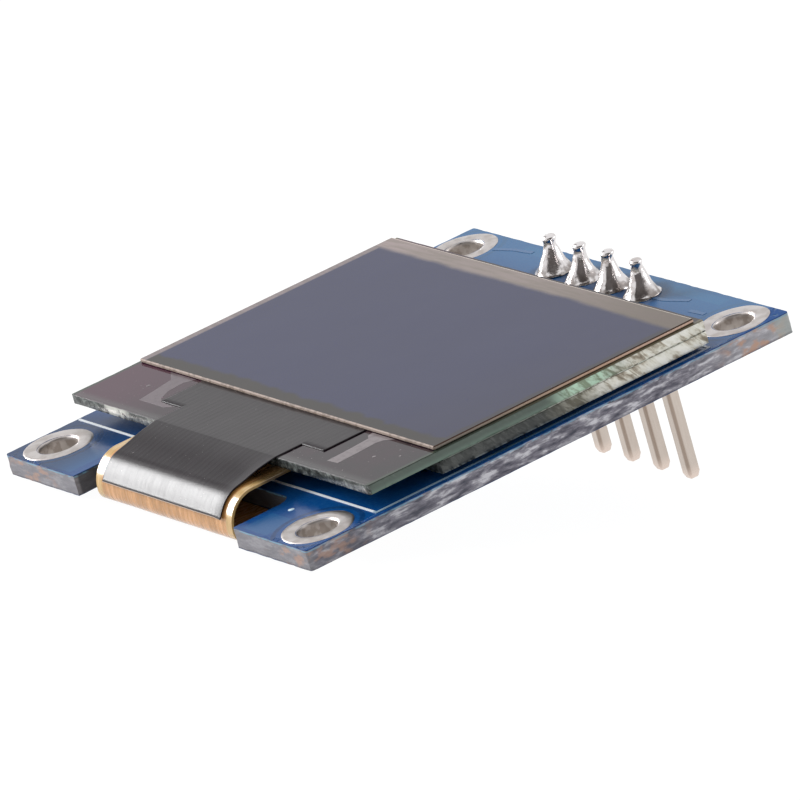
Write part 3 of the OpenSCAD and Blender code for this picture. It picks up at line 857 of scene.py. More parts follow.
def add_piece(name, mesh, finish_name, nodes=(), sharp=35):
    """Link a mesh as a piece of the object and tell the frame what it is."""
    mesh.set_sharp_from_angle(angle=math.radians(sharp))
    for face in mesh.polygons:
        face.use_smooth = max(abs(part) for part in face.normal) < FLAT_FACE
    mesh.materials.clear()
    mesh.materials.append(finish(finish_name))
    piece = bpy.data.objects.new(name, mesh)
    bpy.context.scene.collection.objects.link(piece)
    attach(piece, ROOT)
    if nodes:
        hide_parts(*nodes)


def to_mesh(name, bm):
    """Close a bmesh into mesh data."""
    mesh = bpy.data.meshes.new(name)
    bm.to_mesh(mesh)
    bm.free()
    return mesh


def add_solid(name, bm, finish_name, *nodes, sharp=35):
    """Add a bmesh as a piece whose slot has its finish's name."""
    add_piece(name, to_mesh(name, bm), finish_name, nodes, sharp)


def dress(node, finish_name):
    """Give a CAD node its detailed material."""
    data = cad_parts[node]
    for slot in data.material_slots:
        slot.material = finish(finish_name)
    if not data.material_slots:
        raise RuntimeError(f"{node} has no material slot")


# Corners of a CAD solid this near are one corner, and faces this nearly level are one face.
SAME_POINT = 0.0005 * MM
SAME_FACE = math.radians(0.5)


def solid_copy(node, corner=0.0, segments=2, sharp=30):
    """A merged copy of a CAD solid; edges sharper than sharp degrees are rounded."""
    bm = bmesh.new()
    bm.from_mesh(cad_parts[node].data)
    bmesh.ops.remove_doubles(bm, verts=bm.verts, dist=SAME_POINT)
    bmesh.ops.dissolve_limit(bm, angle_limit=SAME_FACE, verts=bm.verts, edges=bm.edges)
    bmesh.ops.recalc_face_normals(bm, faces=bm.faces)
    if corner:
        edges = [e for e in bm.edges
                 if e.is_manifold and e.calc_face_angle(0) > math.radians(sharp)]
        bmesh.ops.bevel(bm, geom=edges, offset=corner, segments=segments, profile=0.5,
                        affect="EDGES", clamp_overlap=True)
    return bm


def slice_along(bm, axis, step):
    """Cut a mesh across an axis at even steps."""
    low = min(v.co[axis] for v in bm.verts)
    high = max(v.co[axis] for v in bm.verts)
    count = int((high - low) / step)
    normal = Vector([float(i == axis) for i in range(3)])
    for i in range(1, count):
        geometry = bm.verts[:] + bm.edges[:] + bm.faces[:]
        bmesh.ops.bisect_plane(bm, geom=geometry, dist=1e-9,
                               plane_co=normal * (low + (high - low) * i / count),
                               plane_no=normal)


# Sides of what is turned round a hole or a pin.
SIDES = 72


def lathe(bm, profile, centre, count, shape, closed=False):
    """Turn a profile of (radius, height) round; shape places each point."""
    rings = []
    for radius, height in profile:
        turns = count if radius > 0 else 1
        rings.append([
            bm.verts.new(Vector(shape(math.tau * i / count, radius, height)) * MM
                         + Vector((centre[0], centre[1], 0)) * MM)
            for i in range(turns)])
    if closed:
        rings.append(rings[0])
    for low, high in zip(rings, rings[1:]):
        for i in range(count):
            j = (i + 1) % count
            corners = []
            for ring, place in ((low, i), (low, j), (high, j), (high, i)):
                vert = ring[place % len(ring)]
                if vert not in corners:
                    corners.append(vert)
            bm.faces.new(corners)


def plain_turn(angle, radius, height):
    """A point of a true revolve."""
    return radius * math.cos(angle), radius * math.sin(angle), height


def wobble(x, y, z, scale, seed):
    """Smooth noise from -1 to 1 at a point in millimetres."""
    return noise.noise(Vector((x * scale + seed * 17.3, y * scale - seed * 9.1,
                               z * scale + seed * 4.7)))


def facing(toward, above):
    """Unit axes across, up and toward a viewer for a thing that faces that way."""
    toward = toward.normalized()
    across = above.cross(toward).normalized()
    return across, toward.cross(across).normalized(), toward


def turned(axes):
    """The turn that lays x, y and z along three axes."""
    return Matrix(axes).transposed().to_4x4()


# ---- repeats by Geometry Nodes ----


class Nodes:
    """A Geometry Nodes tree built node by node."""

    def __init__(self, name):
        self.tree = bpy.data.node_groups.new(name, "GeometryNodeTree")
        self.tree.interface.new_socket("Geometry", in_out="INPUT",
                                       socket_type="NodeSocketGeometry")
        self.tree.interface.new_socket("Geometry", in_out="OUTPUT",
                                       socket_type="NodeSocketGeometry")
        self.source = self.tree.nodes.new("NodeGroupInput")
        self.sink = self.tree.nodes.new("NodeGroupOutput")
        self.identifiers = {}

    def entry(self, name, kind):
        """Add a named input and return its socket."""
        made = self.tree.interface.new_socket(name, in_out="INPUT", socket_type=kind)
        self.identifiers[name] = made.identifier
        return self.source.outputs[name]

    def node(self, kind, settings=None, sockets=None):
        """Add a node: its settings first, then the values or links of its sockets."""
        made = self.tree.nodes.new(kind)
        for key, value in (settings or {}).items():
            setattr(made, key, value)
        for key, value in (sockets or {}).items():
            if isinstance(value, bpy.types.NodeSocket):
                self.tree.links.new(value, made.inputs[key])
            else:
                made.inputs[key].default_value = value
        return made

    def close(self, geometry, material):
        """End the tree in Realize Instances and Set Material."""
        whole = self.node("GeometryNodeRealizeInstances", None, {0: geometry})
        dressed = self.node("GeometryNodeSetMaterial", None,
                            {"Geometry": whole.outputs[0], "Material": material})
        self.tree.links.new(dressed.outputs[0], self.sink.inputs[0])


def grow(tree, name, mesh, **values):
    """Run a tree on a mesh and return the result as a plain mesh."""
    carrier = bpy.data.objects.new(name + "_carrier", mesh)
    bpy.context.scene.collection.objects.link(carrier)
    modifier = carrier.modifiers.new("grow", "NODES")
    modifier.node_group = tree.tree
    for key, value in values.items():
        modifier[tree.identifiers[key]] = value
    depsgraph = bpy.context.evaluated_depsgraph_get()
    result = bpy.data.meshes.new_from_object(
        carrier.evaluated_get(depsgraph), depsgraph=depsgraph)
    carrier.modifiers.clear()
    bpy.data.objects.remove(carrier)
    result.name = name
    return result


def repeat_tree():
    """Copies of a seed piece on points, each turned by the point's own angle."""
    tree = Nodes("repeat_on_points")
    seed_piece = tree.entry("Piece", "NodeSocketObject")
    unevenness = tree.entry("Unevenness", "NodeSocketFloat")
    random_seed = tree.entry("Seed", "NodeSocketInt")
    material = tree.entry("Material", "NodeSocketMaterial")
    points = tree.node("GeometryNodeMeshToPoints", None,
                       {"Mesh": tree.source.outputs["Geometry"]})
    piece = tree.node("GeometryNodeObjectInfo", None, {"Object": seed_piece})
    turn = tree.node("GeometryNodeInputNamedAttribute", {"data_type": "FLOAT"},
                     {"Name": "turn"})
    angle = tree.node("ShaderNodeCombineXYZ", None, {"Z": turn.outputs[0]})
    low = tree.node("ShaderNodeMath", {"operation": "SUBTRACT"}, {0: 1.0, 1: unevenness})
    high = tree.node("ShaderNodeMath", {"operation": "ADD"}, {0: 1.0, 1: unevenness})
    size = tree.node("FunctionNodeRandomValue", {"data_type": "FLOAT"},
                     {2: low.outputs[0], 3: high.outputs[0], "Seed": random_seed})
    placed = tree.node("GeometryNodeInstanceOnPoints", None,
                       {"Points": points.outputs[0], "Instance": piece.outputs["Geometry"],
                        "Rotation": angle.outputs[0], "Scale": size.outputs[1]})
    tree.close(placed.outputs[0], material)
    return tree


def repeated(name, bm, spots, finish_name, unevenness=0.0, seed=1):
    """A mesh repeated at spots of (x, y, z, turn in degrees), in millimetres."""
    piece = bpy.data.objects.new(name + "_seed", to_mesh(name + "_seed", bm))
    bpy.context.scene.collection.objects.link(piece)
    points = bpy.data.meshes.new(name + "_points")
    points.from_pydata([Vector(spot[:3]) * MM for spot in spots], [], [])
    turns = points.attributes.new("turn", "FLOAT", "POINT")
    for datum, spot in zip(turns.data, spots):
        datum.value = math.radians(spot[3])
    mesh = grow(repeat_tree(), name, points, Piece=piece, Unevenness=unevenness,
                Seed=seed, Material=finish(finish_name))
    bpy.data.objects.remove(piece)
    return mesh


def track_tree():
    """Low flat strips that follow the edges of a mesh, with rounded turns."""
    tree = Nodes("tracks_along_edges")
    width = tree.entry("Width", "NodeSocketFloat")
    height = tree.entry("Height", "NodeSocketFloat")
    turn = tree.entry("Turn", "NodeSocketFloat")
    material = tree.entry("Material", "NodeSocketMaterial")
    line = tree.node("GeometryNodeMeshToCurve", None,
                     {"Mesh": tree.source.outputs["Geometry"]})
    eased = tree.node("GeometryNodeFilletCurve", {"mode": "POLY"},
                      {"Curve": line.outputs[0], "Radius": turn, "Count": 4})
    upright = tree.node("GeometryNodeSetCurveNormal", {"mode": "Z_UP"},
                        {"Curve": eased.outputs[0]})
    top = tree.node("ShaderNodeMath", {"operation": "MULTIPLY"}, {0: width, 1: 0.8})
    profile = tree.node("GeometryNodeCurvePrimitiveQuadrilateral", {"mode": "TRAPEZOID"},
                        {"Height": height, "Bottom Width": width, "Offset": 0.0,
                         "Top Width": top.outputs[0]})
    strip = tree.node("GeometryNodeCurveToMesh", None,
                      {"Curve": upright.outputs[0], "Profile Curve": profile.outputs[0],
                       "Fill Caps": True})
    tree.close(strip.outputs[0], material)
    return tree


def tracks(name, lines, level):
    """Raised copper tracks along lines of (x, y) points, on one level."""
    points, edges = [], []
    for line in lines:
        start = len(points)
        points += [Vector((x, y, level)) * MM for x, y in line]
        edges += [(start + i, start + i + 1) for i in range(len(line) - 1)]
    mesh = bpy.data.meshes.new(name + "_lines")
    mesh.from_pydata(points, edges, [])
    return grow(track_tree(), name, mesh, Width=sizes().trace_width,
                Height=sizes().trace_height, Turn=0.3 * MM, Material=finish("mask_on_track"))


# ---- operators ----


class PieceOperator:
    """What the operators share."""

    bl_options = {"REGISTER", "UNDO"}

    def execute(self, context):
        self.build()
        return {"FINISHED"}


class MODULE_OT_board(PieceOperator, bpy.types.Operator):
    """Board with frayed cut edges, raised tracks, vias and the printed outline."""

    bl_idname = "module.board"
    bl_label = "Board"

    def build(self):
        bm = solid_copy("pcb")
        for axis, step in enumerate((0.33, 0.33, 0.2)):
            slice_along(bm, axis, step * MM)
        self.fray(bm)
        add_solid("board", bm, "board_laminate", "pcb", sharp=40)
        self.add_tracks()
        self.add_vias()
        dress("silkscreen", "white_ink")

    def fray(self, bm):
        """Rough the cut edges. Walls near the axis of a hole or a pin stay true."""
        bores = [(hole, 1.3) for hole in HOLES] + [(pin, 0.7) for pin in PINS]
        bm.normal_update()
        moves = {}
        for vert in bm.verts:
            outward = Vector((0, 0, 0))
            for face in vert.link_faces:
                if abs(face.normal.z) < 0.5:
                    outward += face.normal
            x, y, z = vert.co / MM
            in_bore = any(math.hypot(x - axis.x, y - axis.y) < reach for axis, reach in bores)
            if outward.length < 0.1 or in_bore:
                continue
            push = wobble(x, y, z, 2.1, 1) * 0.6 + wobble(x, y, z * 1.6, 6.0, 2) * 0.5 - 0.35
            moves[vert] = outward.normalized() * push * sizes().board_fray
        for vert, move in moves.items():
            vert.co += move

    def add_tracks(self):
        """Tracks under the mask of both faces, by their turning points."""
        front = [
            [(4.6, 12.15), (5.6, 12.2), (7.1, 12.7)], [(8.2, 11.9), (9.4, 11.95)],
            [(-7.2, 13.15), (-8.6, 13.0), (-9.9, 12.6)],
        ]
        back = [
            [(-3.81, 11.1), (-3.81, 9.9), (-7.2, 9.4), (-8.15, 8.6)],
            [(-1.27, 11.1), (-1.27, 9.2), (-3.8, 8.9), (-3.8, 8.6)],
            [(1.27, 11.1), (1.27, 9.8), (2.4, 9.2), (2.4, 8.6)],
            [(3.81, 11.1), (3.81, 9.6), (4.4, 9.2), (4.4, 8.6)],
            [(2.4, 6.6), (2.4, 5.4), (0.9, 4.2), (0.9, -5.0)],
            [(4.4, 6.6), (4.4, 5.0), (3.2, 3.8), (3.2, -5.0)],
            [(6.4, 6.6), (6.4, 4.2), (7.0, 3.4), (7.0, -2.0), (6.2, -5.0)],
            [(8.4, 6.6), (8.4, 3.0), (9.6, 1.6), (9.6, 0.8)],
            [(-10.6, 6.2), (-10.6, 4.0), (-9.0, 2.6), (-5.2, 2.6), (-5.2, 1.8)],
            [(-3.8, 6.2), (-3.8, 3.6), (-1.6, 3.0), (-1.6, 1.8)],
            [(-5.2, -0.2), (-5.2, -5.0)], [(-1.6, -0.2), (-1.6, -5.0)],
            [(2.0, -0.2), (2.0, -5.0)], [(5.2, -0.2), (5.2, -5.0)],
            [(-8.6, 0.8), (-7.2, 0.8), (-6.5, 0.1), (-6.5, -5.0)],
            [(-8.6, -1.0), (-7.9, -1.7), (-7.9, -5.0)],
            [(7.6, 0.8), (7.6, -3.8), (8.4, -5.0)],
        ]
        for name, lines, level in (("tracks_front", front, BOARD_HIGH.z + 0.004),
                                   ("tracks_back", back, BOARD_LOW.z - 0.004)):
            add_piece(name, tracks(name, lines, level), "mask_on_track")

    def add_vias(self):
        """Small covered vias on both faces."""
        bm = bmesh.new()
        dome = [(0, 0.035), (0.04, 0.032), (0.07, 0.022), (0.11, 0.014), (0.15, 0.004),
                (0.15, -0.02), (0, -0.02)]
        lathe(bm, dome, (0, 0), 14, plain_turn)
        bmesh.ops.recalc_face_normals(bm, faces=bm.faces)
        spots = [(8.44, -11.35, BOARD_HIGH.z, 0)]
        spots += [(x, y, BOARD_LOW.z, 0) for x, y in (
            (0.9, 4.2), (3.2, 3.8), (7.0, 3.4), (-9.0, 4.1), (-6.5, 0.1), (-3.4, -2.4),
            (0.0, -2.9), (8.9, -3.2), (-9.6, -3.4), (10.9, 3.6), (-11.6, 1.5), (8.6, 9.9))]
        add_piece("vias", repeated("vias", bm, spots, "via_cover", 0.06, 3), "via_cover")


class MODULE_OT_hole_pads(PieceOperator, bpy.types.Operator):
    """Tinned pads and walls of the mounting holes, domed and a little uneven."""

    bl_idname = "module.hole_pads"
    bl_label = "Hole pads"

    # Radius of the plating's back inside the board, which stays true.
    back_radius = 1.04

    def build(self):
        low, high = box_mm("hole_plating_1")
        outer = (high.x - low.x) / 2
        top, bottom = BOARD_HIGH.z, BOARD_LOW.z
        upper = [(outer, top), (outer - 0.03, top + 0.025), (outer - 0.12, top + 0.042),
                 (outer - 0.35, top + 0.055), (1.28, top + 0.05), (1.10, top + 0.025),
                 (1.02, top - 0.03), (0.985, top - 0.12)]
        wall = [(0.975, top - down) for down in (0.25, 0.4, 0.55, 0.7, 0.85)]
        lower = [(radius, bottom + top - height) for radius, height in reversed(upper)]
        back = [(self.back_radius, bottom + 0.01), (self.back_radius, top - 0.01)]
        for index, hole in enumerate(HOLES, 1):
            bm = bmesh.new()
            lathe(bm, upper + wall + lower + back, hole, SIDES, self.pad_shape(index + 2),
                  closed=True)
            bmesh.ops.recalc_face_normals(bm, faces=bm.faces)
            add_solid(f"hole_pad_{index}", bm, "tinned_pads", f"hole_plating_{index}", sharp=60)

    def pad_shape(self, seed):
        """Place points: the wall and both faces are lumpy."""
        lump = sizes().solder_lump / MM
        middle = (BOARD_LOW.z + BOARD_HIGH.z) / 2

        def shape(angle, radius, height):
            x, y = radius * math.cos(angle), radius * math.sin(angle)
            if radius < self.back_radius - 0.01:
                radius -= lump * (0.5 + wobble(x, y, height, 1.7, seed)) * 0.9
            elif radius > self.back_radius + 0.01:
                rise = wobble(x, y, 0, 1.3, seed) * lump * 0.35
                height += rise if height > middle else -rise
                radius += wobble(x, y, 0, 0.9, seed + 5) * lump * 0.8
            return radius * math.cos(angle), radius * math.sin(angle), height

        return shape


class MODULE_OT_header(PieceOperator, bpy.types.Operator):
    """Header strip with its row of square pins."""

    bl_idname = "module.header"
    bl_label = "Header"

    # How far a pin reaches into its solder over the board.
    buried = 0.95

    def build(self):
        add_solid("header_housing", solid_copy("header_body", 0.06 * MM), "header_plastic",
                  "header_body")
        pin = solid_copy("header_pin_1", 0.075 * MM, 3, sharp=20)
        self.cut_top(pin, BOARD_HIGH.z + self.buried)
        first = PINS[0]
        for vert in pin.verts:
            vert.co -= Vector((first.x, first.y, 0)) * MM
        spots = [(p.x, p.y, 0, 0) for p in PINS]
        mesh = repeated("header_pins", pin, spots, "pin_metal")
        add_piece("header_pins", mesh, "pin_metal",
                  [f"header_pin_{i}" for i in (1, 2, 3, 4)])

    def cut_top(self, bm, level):
        """End the pin inside its solder, which leans away from it higher up."""
        bmesh.ops.bisect_plane(bm, geom=bm.verts[:] + bm.edges[:] + bm.faces[:],
                               plane_co=Vector((0, 0, level)) * MM,
                               plane_no=Vector((0, 0, 1)), clear_outer=True)
        open_edges = [e for e in bm.edges if e.is_boundary]
        bmesh.ops.contextual_create(bm, geom=open_edges)


class MODULE_OT_solder_cones(PieceOperator, bpy.types.Operator):
    """Solder cones round the header pins, each with its own lumps and tip."""

    bl_idname = "module.solder_cones"
    bl_label = "Solder cones"

    # Height of a cone over the board.
    height = 1.895

    def build(self):
        base = BOARD_HIGH.z
        core = [(0, 0.02), (0.48, 0.02), (0.49, 0.5), (0.5, base - 0.02), (0.96, base - 0.01)]
        cone = [(0.99, 0.03), (0.97, 0.08), (0.91, 0.14), (0.84, 0.22), (0.76, 0.34),
                (0.67, 0.48), (0.59, 0.64), (0.52, 0.80), (0.455, 0.95), (0.40, 1.10),
                (0.355, 1.24), (0.315, 1.36), (0.295, 1.46), (0.29, 1.54), (0.305, 1.62),
                (0.325, 1.69), (0.325, 1.76), (0.29, 1.82), (0.22, 1.865), (0.11, 1.89),
                (0, self.height)]
        profile = core + [(radius, base + over) for radius, over in cone]
        for index, pin in enumerate(PINS, 1):
            bm = bmesh.new()
            lathe(bm, profile, pin, SIDES, self.cone_shape(index, base))
            bmesh.ops.recalc_face_normals(bm, faces=bm.faces)
            add_solid(f"solder_fillet_{index}", bm, "solder", f"solder_cone_{index}", sharp=70)

    def cone_shape(self, seed, base):
        """Place points: lumps all over, a foot that spreads and a tip that leans."""
        dice = random.Random(seed)
        lean = Vector((dice.uniform(0.05, 0.13), dice.uniform(0.13, 0.22), 0))
        foot = dice.uniform(0.95, 1.03)
        top = dice.uniform(-0.05, 0.03)
        lump = sizes().solder_lump / MM

        def shape(angle, radius, height):
            if height <= base:
                return plain_turn(angle, radius, height)
            lift = (height - base) / self.height
            x, y = radius * math.cos(angle), radius * math.sin(angle)
            radius *= 1 + (foot - 1) * (1 - lift)
            if radius:
                radius += lump * (0.9 * wobble(x, y, height, 1.6, seed)
                                  + 0.55 * wobble(x, y, height, 3.6, seed + 9))
            bend = lift ** 1.6
            return (radius * math.cos(angle) + lean.x * bend,
                    radius * math.sin(angle) + lean.y * bend, height + top * lift)

        return shape


class MODULE_OT_panel(PieceOperator, bpy.types.Operator):
    """Two bonded glasses with ground edges, the film, the foam and the marks."""

    bl_idname = "module.panel"
    bl_label = "Display panel"

    # How near to the outline of a glass a point counts as its edge.
    edge_reach = 0.03 * MM

    def build(self):
        self.add_glasses()
        add_solid("display_polarizer", solid_copy("polarizer", sizes().edge_round, 1),
                  "polarizer_film", "polarizer")
        self.add_foam()
        add_solid("driver_die", solid_copy("driver_chip", 0.02 * MM), "silicon", "driver_chip")
        dress("getter_sheet", "getter_white")
        self.add_seal()
        dress("oled_layers", "display_film")
        self.add_marks()

    def add_glasses(self):
        """Both glasses, with chipped edges."""
        for seed, node in enumerate(("front_glass", "rear_glass"), 1):
            bm = solid_copy(node, 0.005 * MM, 1)
            slice_along(bm, 0, 0.45 * MM)
            slice_along(bm, 1, 0.30 * MM)
            self.chip_edges(bm, seed)
            add_solid("panel_" + node, bm, node, node, sharp=50)

    def chip_edges(self, bm, seed):
        """Small conchoidal chips along the outer glass edges."""
        low = Vector([min(v.co[i] for v in bm.verts) for i in range(3)])
        high = Vector([max(v.co[i] for v in bm.verts) for i in range(3)])
        for vert in bm.verts:
            x, y, z = vert.co / MM
            depth = max(0.0, wobble(x, y, z * 2, 1.7, seed + 20) - 0.05)
            depth += 0.4 * max(0.0, wobble(x, y, z * 3, 4.0, seed + 30))
            push = 0.05 * MM * depth
            for axis in (0, 1):
                if vert.co[axis] - low[axis] < self.edge_reach:
                    vert.co[axis] += push
                elif high[axis] - vert.co[axis] < self.edge_reach:
                    vert.co[axis] -= push

    def add_foam(self):
        """Foam whose free sides are a little uneven."""
        bm = solid_copy("foam_pad", sizes().edge_round)
        slice_along(bm, 0, 0.5 * MM)
        slice_along(bm, 1, 0.5 * MM)
        for vert in bm.verts:
            x, y, z = vert.co / MM
            if BOARD_HIGH.z + 0.03 < z < REAR_LOW.z - 0.03:
                vert.co.x += wobble(x, y, z, 2.0, 6) * 0.06 * MM
                vert.co.y += wobble(x, y, z, 2.0, 7) * 0.06 * MM
        add_solid("panel_foam", bm, "foam_tape", "foam_pad")

    def add_seal(self):
        """Seal that swells a hair past both sides of the glass."""
        bm = solid_copy("edge_seal")
        for vert in bm.verts:
            if abs(vert.co.x) > 12.9 * MM:
                vert.co.x = math.copysign(GLASS_HIGH.x + 0.012, vert.co.x) * MM
        add_solid("panel_seal", bm, "seal_resin", "edge_seal")

    def add_marks(self):
        """Thin metal marks and a few specks on the ledge."""
        left = [(-8.80, -8.65), (-6.50, -8.65), (-5.96, -8.42), (-7.30, -8.30),
                (-7.72, -8.05), (-8.15, -7.40), (-8.28, -6.45), (-7.95, -5.88),
                (-10.30, -5.88), (-9.36, -6.45), (-9.05, -7.60)]
        right = [(8.48, -8.86), (9.31, -8.82), (9.28, -7.90), (9.16, -6.60),
                 (9.30, -6.20), (9.80, -5.88), (7.87, -5.88), (7.95, -6.20),
                 (8.28, -6.40), (8.44, -7.80)]
        top, sunk = GLASS_HIGH.z, GLASS_HIGH.z - 0.004
        bm = bmesh.new()
        for outline in (left, right):
            self.plate(bm, outline, sunk, top + 0.004)
        for x, y, size in ((-9.96, -7.39, 0.13), (-4.9, -9.0, 0.08), (10.55, -7.56, 0.10),
                           (11.88, -6.96, 0.07)):
            circle = [(x + size * math.cos(a), y + size * 0.8 * math.sin(a))
                      for a in (math.tau * i / 10 for i in range(10))]
            self.plate(bm, circle, sunk, top + 0.005)
        bmesh.ops.recalc_face_normals(bm, faces=bm.faces)
        add_piece("ledge_marks", to_mesh("ledge_marks", bm), "ledge_marks")

    def plate(self, bm, outline, low, high):
        """Thin closed plate over an outline of (x, y) points."""
        rings = [[bm.verts.new(Vector((x, y, z)) * MM) for x, y in outline]
                 for z in (low, high)]
        count = len(outline)
        bm.faces.new(rings[1])
        bm.faces.new(rings[0][::-1])
        for i in range(count):
            j = (i + 1) % count
            bm.faces.new((rings[0][i], rings[0][j], rings[1][j], rings[1][i]))


class MODULE_OT_ribbon(PieceOperator, bpy.types.Operator):
    """Folded ribbon and shield tape, with the relief of the conductors."""

    bl_idname = "module.ribbon"
    bl_label = "Ribbon and tape"

    # Angle round the fold, from its top, past which the tape lies straight.
    straight = math.radians(56)

    def build(self):
        relief = sizes().ribbon_relief
        ribbon = self.strip("ribbon", 0.015, relief, 1)
        add_solid("folded_ribbon", ribbon, "polyimide_ribbon", "ribbon", sharp=50)
        tape = self.strip("shield_tape", 0.012, relief * 0.5, 2)
        self.lift_edge(tape)
        add_solid("shield_tape_skin", tape, "shield_tape", "shield_tape", sharp=50)

    def strip(self, node, corner, height, seed):
        """A copy of a strip, cut finely enough to take the conductors' relief."""
        bm = solid_copy(node, corner * MM, 1, sharp=50)
        slice_along(bm, 0, sizes().conductor_pitch / 4)
        slice_along(bm, 1, 0.4 * MM)
        self.press(bm, height, seed)
        return bm

    def press(self, bm, height, seed):
        """Move the broad faces by the conductors' relief and a slow waviness."""
        bm.normal_update()
        pitch = sizes().conductor_pitch
        moves = {}
        for vert in bm.verts:
            if abs(vert.normal.x) > 0.3:
                continue
            x, y, z = vert.co / MM
            ridge = 0.5 + 0.5 * math.cos(math.tau * vert.co.x / pitch)
            slow = wobble(x * 0.5, y * 0.35, z * 0.35, 1.0, seed)
            moves[vert] = vert.normal * ((ridge - 0.5) * height + slow * 0.010 * MM)
        for vert, move in moves.items():
            vert.co += move

    def lift_edge(self, bm):
        """The tape bellies out past the glass, stays straight at its end and stands
        off the ribbon along its right edge."""
        axis = Vector((0, RIBBON_LOW.y + FOLD_RADIUS, GLASS_LOW.z - FOLD_RADIUS))
        for vert in bm.verts:
            x, y, z = vert.co / MM
            run = GLASS_LOW.y - y
            if run < 0.1:
                continue
            out = Vector((0, y, z)) - axis
            turn = math.atan2(-out.y, out.z)
            push = 0.05 * max(0.0, 1 - ((run - 0.95) / 0.85) ** 2)
            if turn > self.straight:
                push += out.length * (1 / math.cos(turn - self.straight) - 1)
            inward = TAPE_SIDE - x
            if inward < 1.0:
                push += 0.07 * (1.0 - inward) ** 2 * min(1.0, run / 1.2)
            vert.co += out.normalized() * push * MM


class MODULE_OT_back_parts(PieceOperator, bpy.types.Operator):
    """Chip parts, regulator and ribbon joints on the back face."""

    bl_idname = "module.back_parts"
    bl_label = "Back parts"

    # Length and width of a chip part's ceramic and of each end cap, and how far the
    # middle of a cap is from the middle of the part.
    ceramic = (1.5, 0.76)
    cap = (0.32, 0.8)
    cap_offset = 0.64

    def build(self):
        self.add_chips("resistor", 7, 0.45, 0.02)
        self.add_chips("capacitor", 6, 0.80, 0.04)
        add_solid("regulator_case", solid_copy("regulator_body", 0.03 * MM, sharp=10),
                  "regulator_epoxy", "regulator_body")
        dress("regulator_leads", "solder")
        add_solid("chip_fillets", solid_copy("chip_joints", 0.02 * MM), "solder", "chip_joints")
        self.add_ribbon_joints()

    def add_chips(self, kind, count, height, round_over):
        """One field of chip bodies and one of their end caps."""
        nodes = [f"{kind}_{i}" for i in range(1, count + 1)]
        spots = []
        for node in nodes:
            low, high = box_mm(node)
            upright = high.y - low.y > high.x - low.x
            spots.append((*middle_mm(node).xy, high.z, 90 if upright else 0))
        body = bmesh.new()
        self.block(body, 0, self.ceramic, 0.02, height - 0.02, round_over)
        caps = bmesh.new()
        for side in (-1, 1):
            self.block(caps, side * self.cap_offset, self.cap, 0.0, height,
                       sizes().edge_round / MM)
        for name, bm, look in ((f"{kind}_bodies", body, f"{kind}_ceramic"),
                               (f"{kind}_caps", caps, "solder")):
            add_piece(name, repeated(name, bm, spots, look), look, nodes)

    def block(self, bm, x, plan, top, bottom, corner):
        """A rounded block that hangs below level 0, from depth top to depth bottom."""
        length, width = plan
        made = bmesh.ops.create_cube(bm, size=1.0)["verts"]
        for vert in made:
            vert.co = Vector((x + vert.co.x * length, vert.co.y * width,
                              -top - (0.5 - vert.co.z) * (bottom - top))) * MM
        edges = {e for v in made for e in v.link_edges}
        bmesh.ops.bevel(bm, geom=list(edges), offset=corner * MM, segments=3,
                        profile=0.5, affect="EDGES", clamp_overlap=True)

    def add_ribbon_joints(self):
        """A row of soldered contacts across the ribbon end."""
        count, pitch, width = 30, 0.62, 0.34
        first = -(count - 1) / 2 * pitch
        # Along the ribbon: the distance past its end, and the depth of the solder there.
        rows = ((-2.4, 0.05), (-0.86, 0.05), (-0.80, 0.23), (-0.45, 0.31), (-0.05, 0.30),
                (0.25, 0.15), (0.45, 0.05))
        # Across one contact: the place from side to side, and the share of the depth.
        arch = ((-1, 0.0), (-0.9, 0.55), (-0.55, 0.9), (0, 1.0), (0.55, 0.9), (0.9, 0.55),
                (1, 0.0))
        bm = bmesh.new()
        rings = [[bm.verts.new(Vector((across * width / 2, RIBBON_HIGH.y + past,
                                       -depth * share)) * MM) for across, share in arch]
                 for past, depth in rows]
        for one, two in zip(rings, rings[1:]):
            for i in range(len(one)):
                j = (i + 1) % len(one)
                bm.faces.new((one[i], one[j], two[j], two[i]))
        bm.faces.new(rings[0])
        bm.faces.new(rings[-1])
        bmesh.ops.recalc_face_normals(bm, faces=bm.faces)
        spots = [(first + i * pitch, 0, 0, 0) for i in range(count)]
        add_piece("ribbon_contacts", repeated("ribbon_contacts", bm, spots, "solder"),
                  "solder", ["ribbon_joints"])


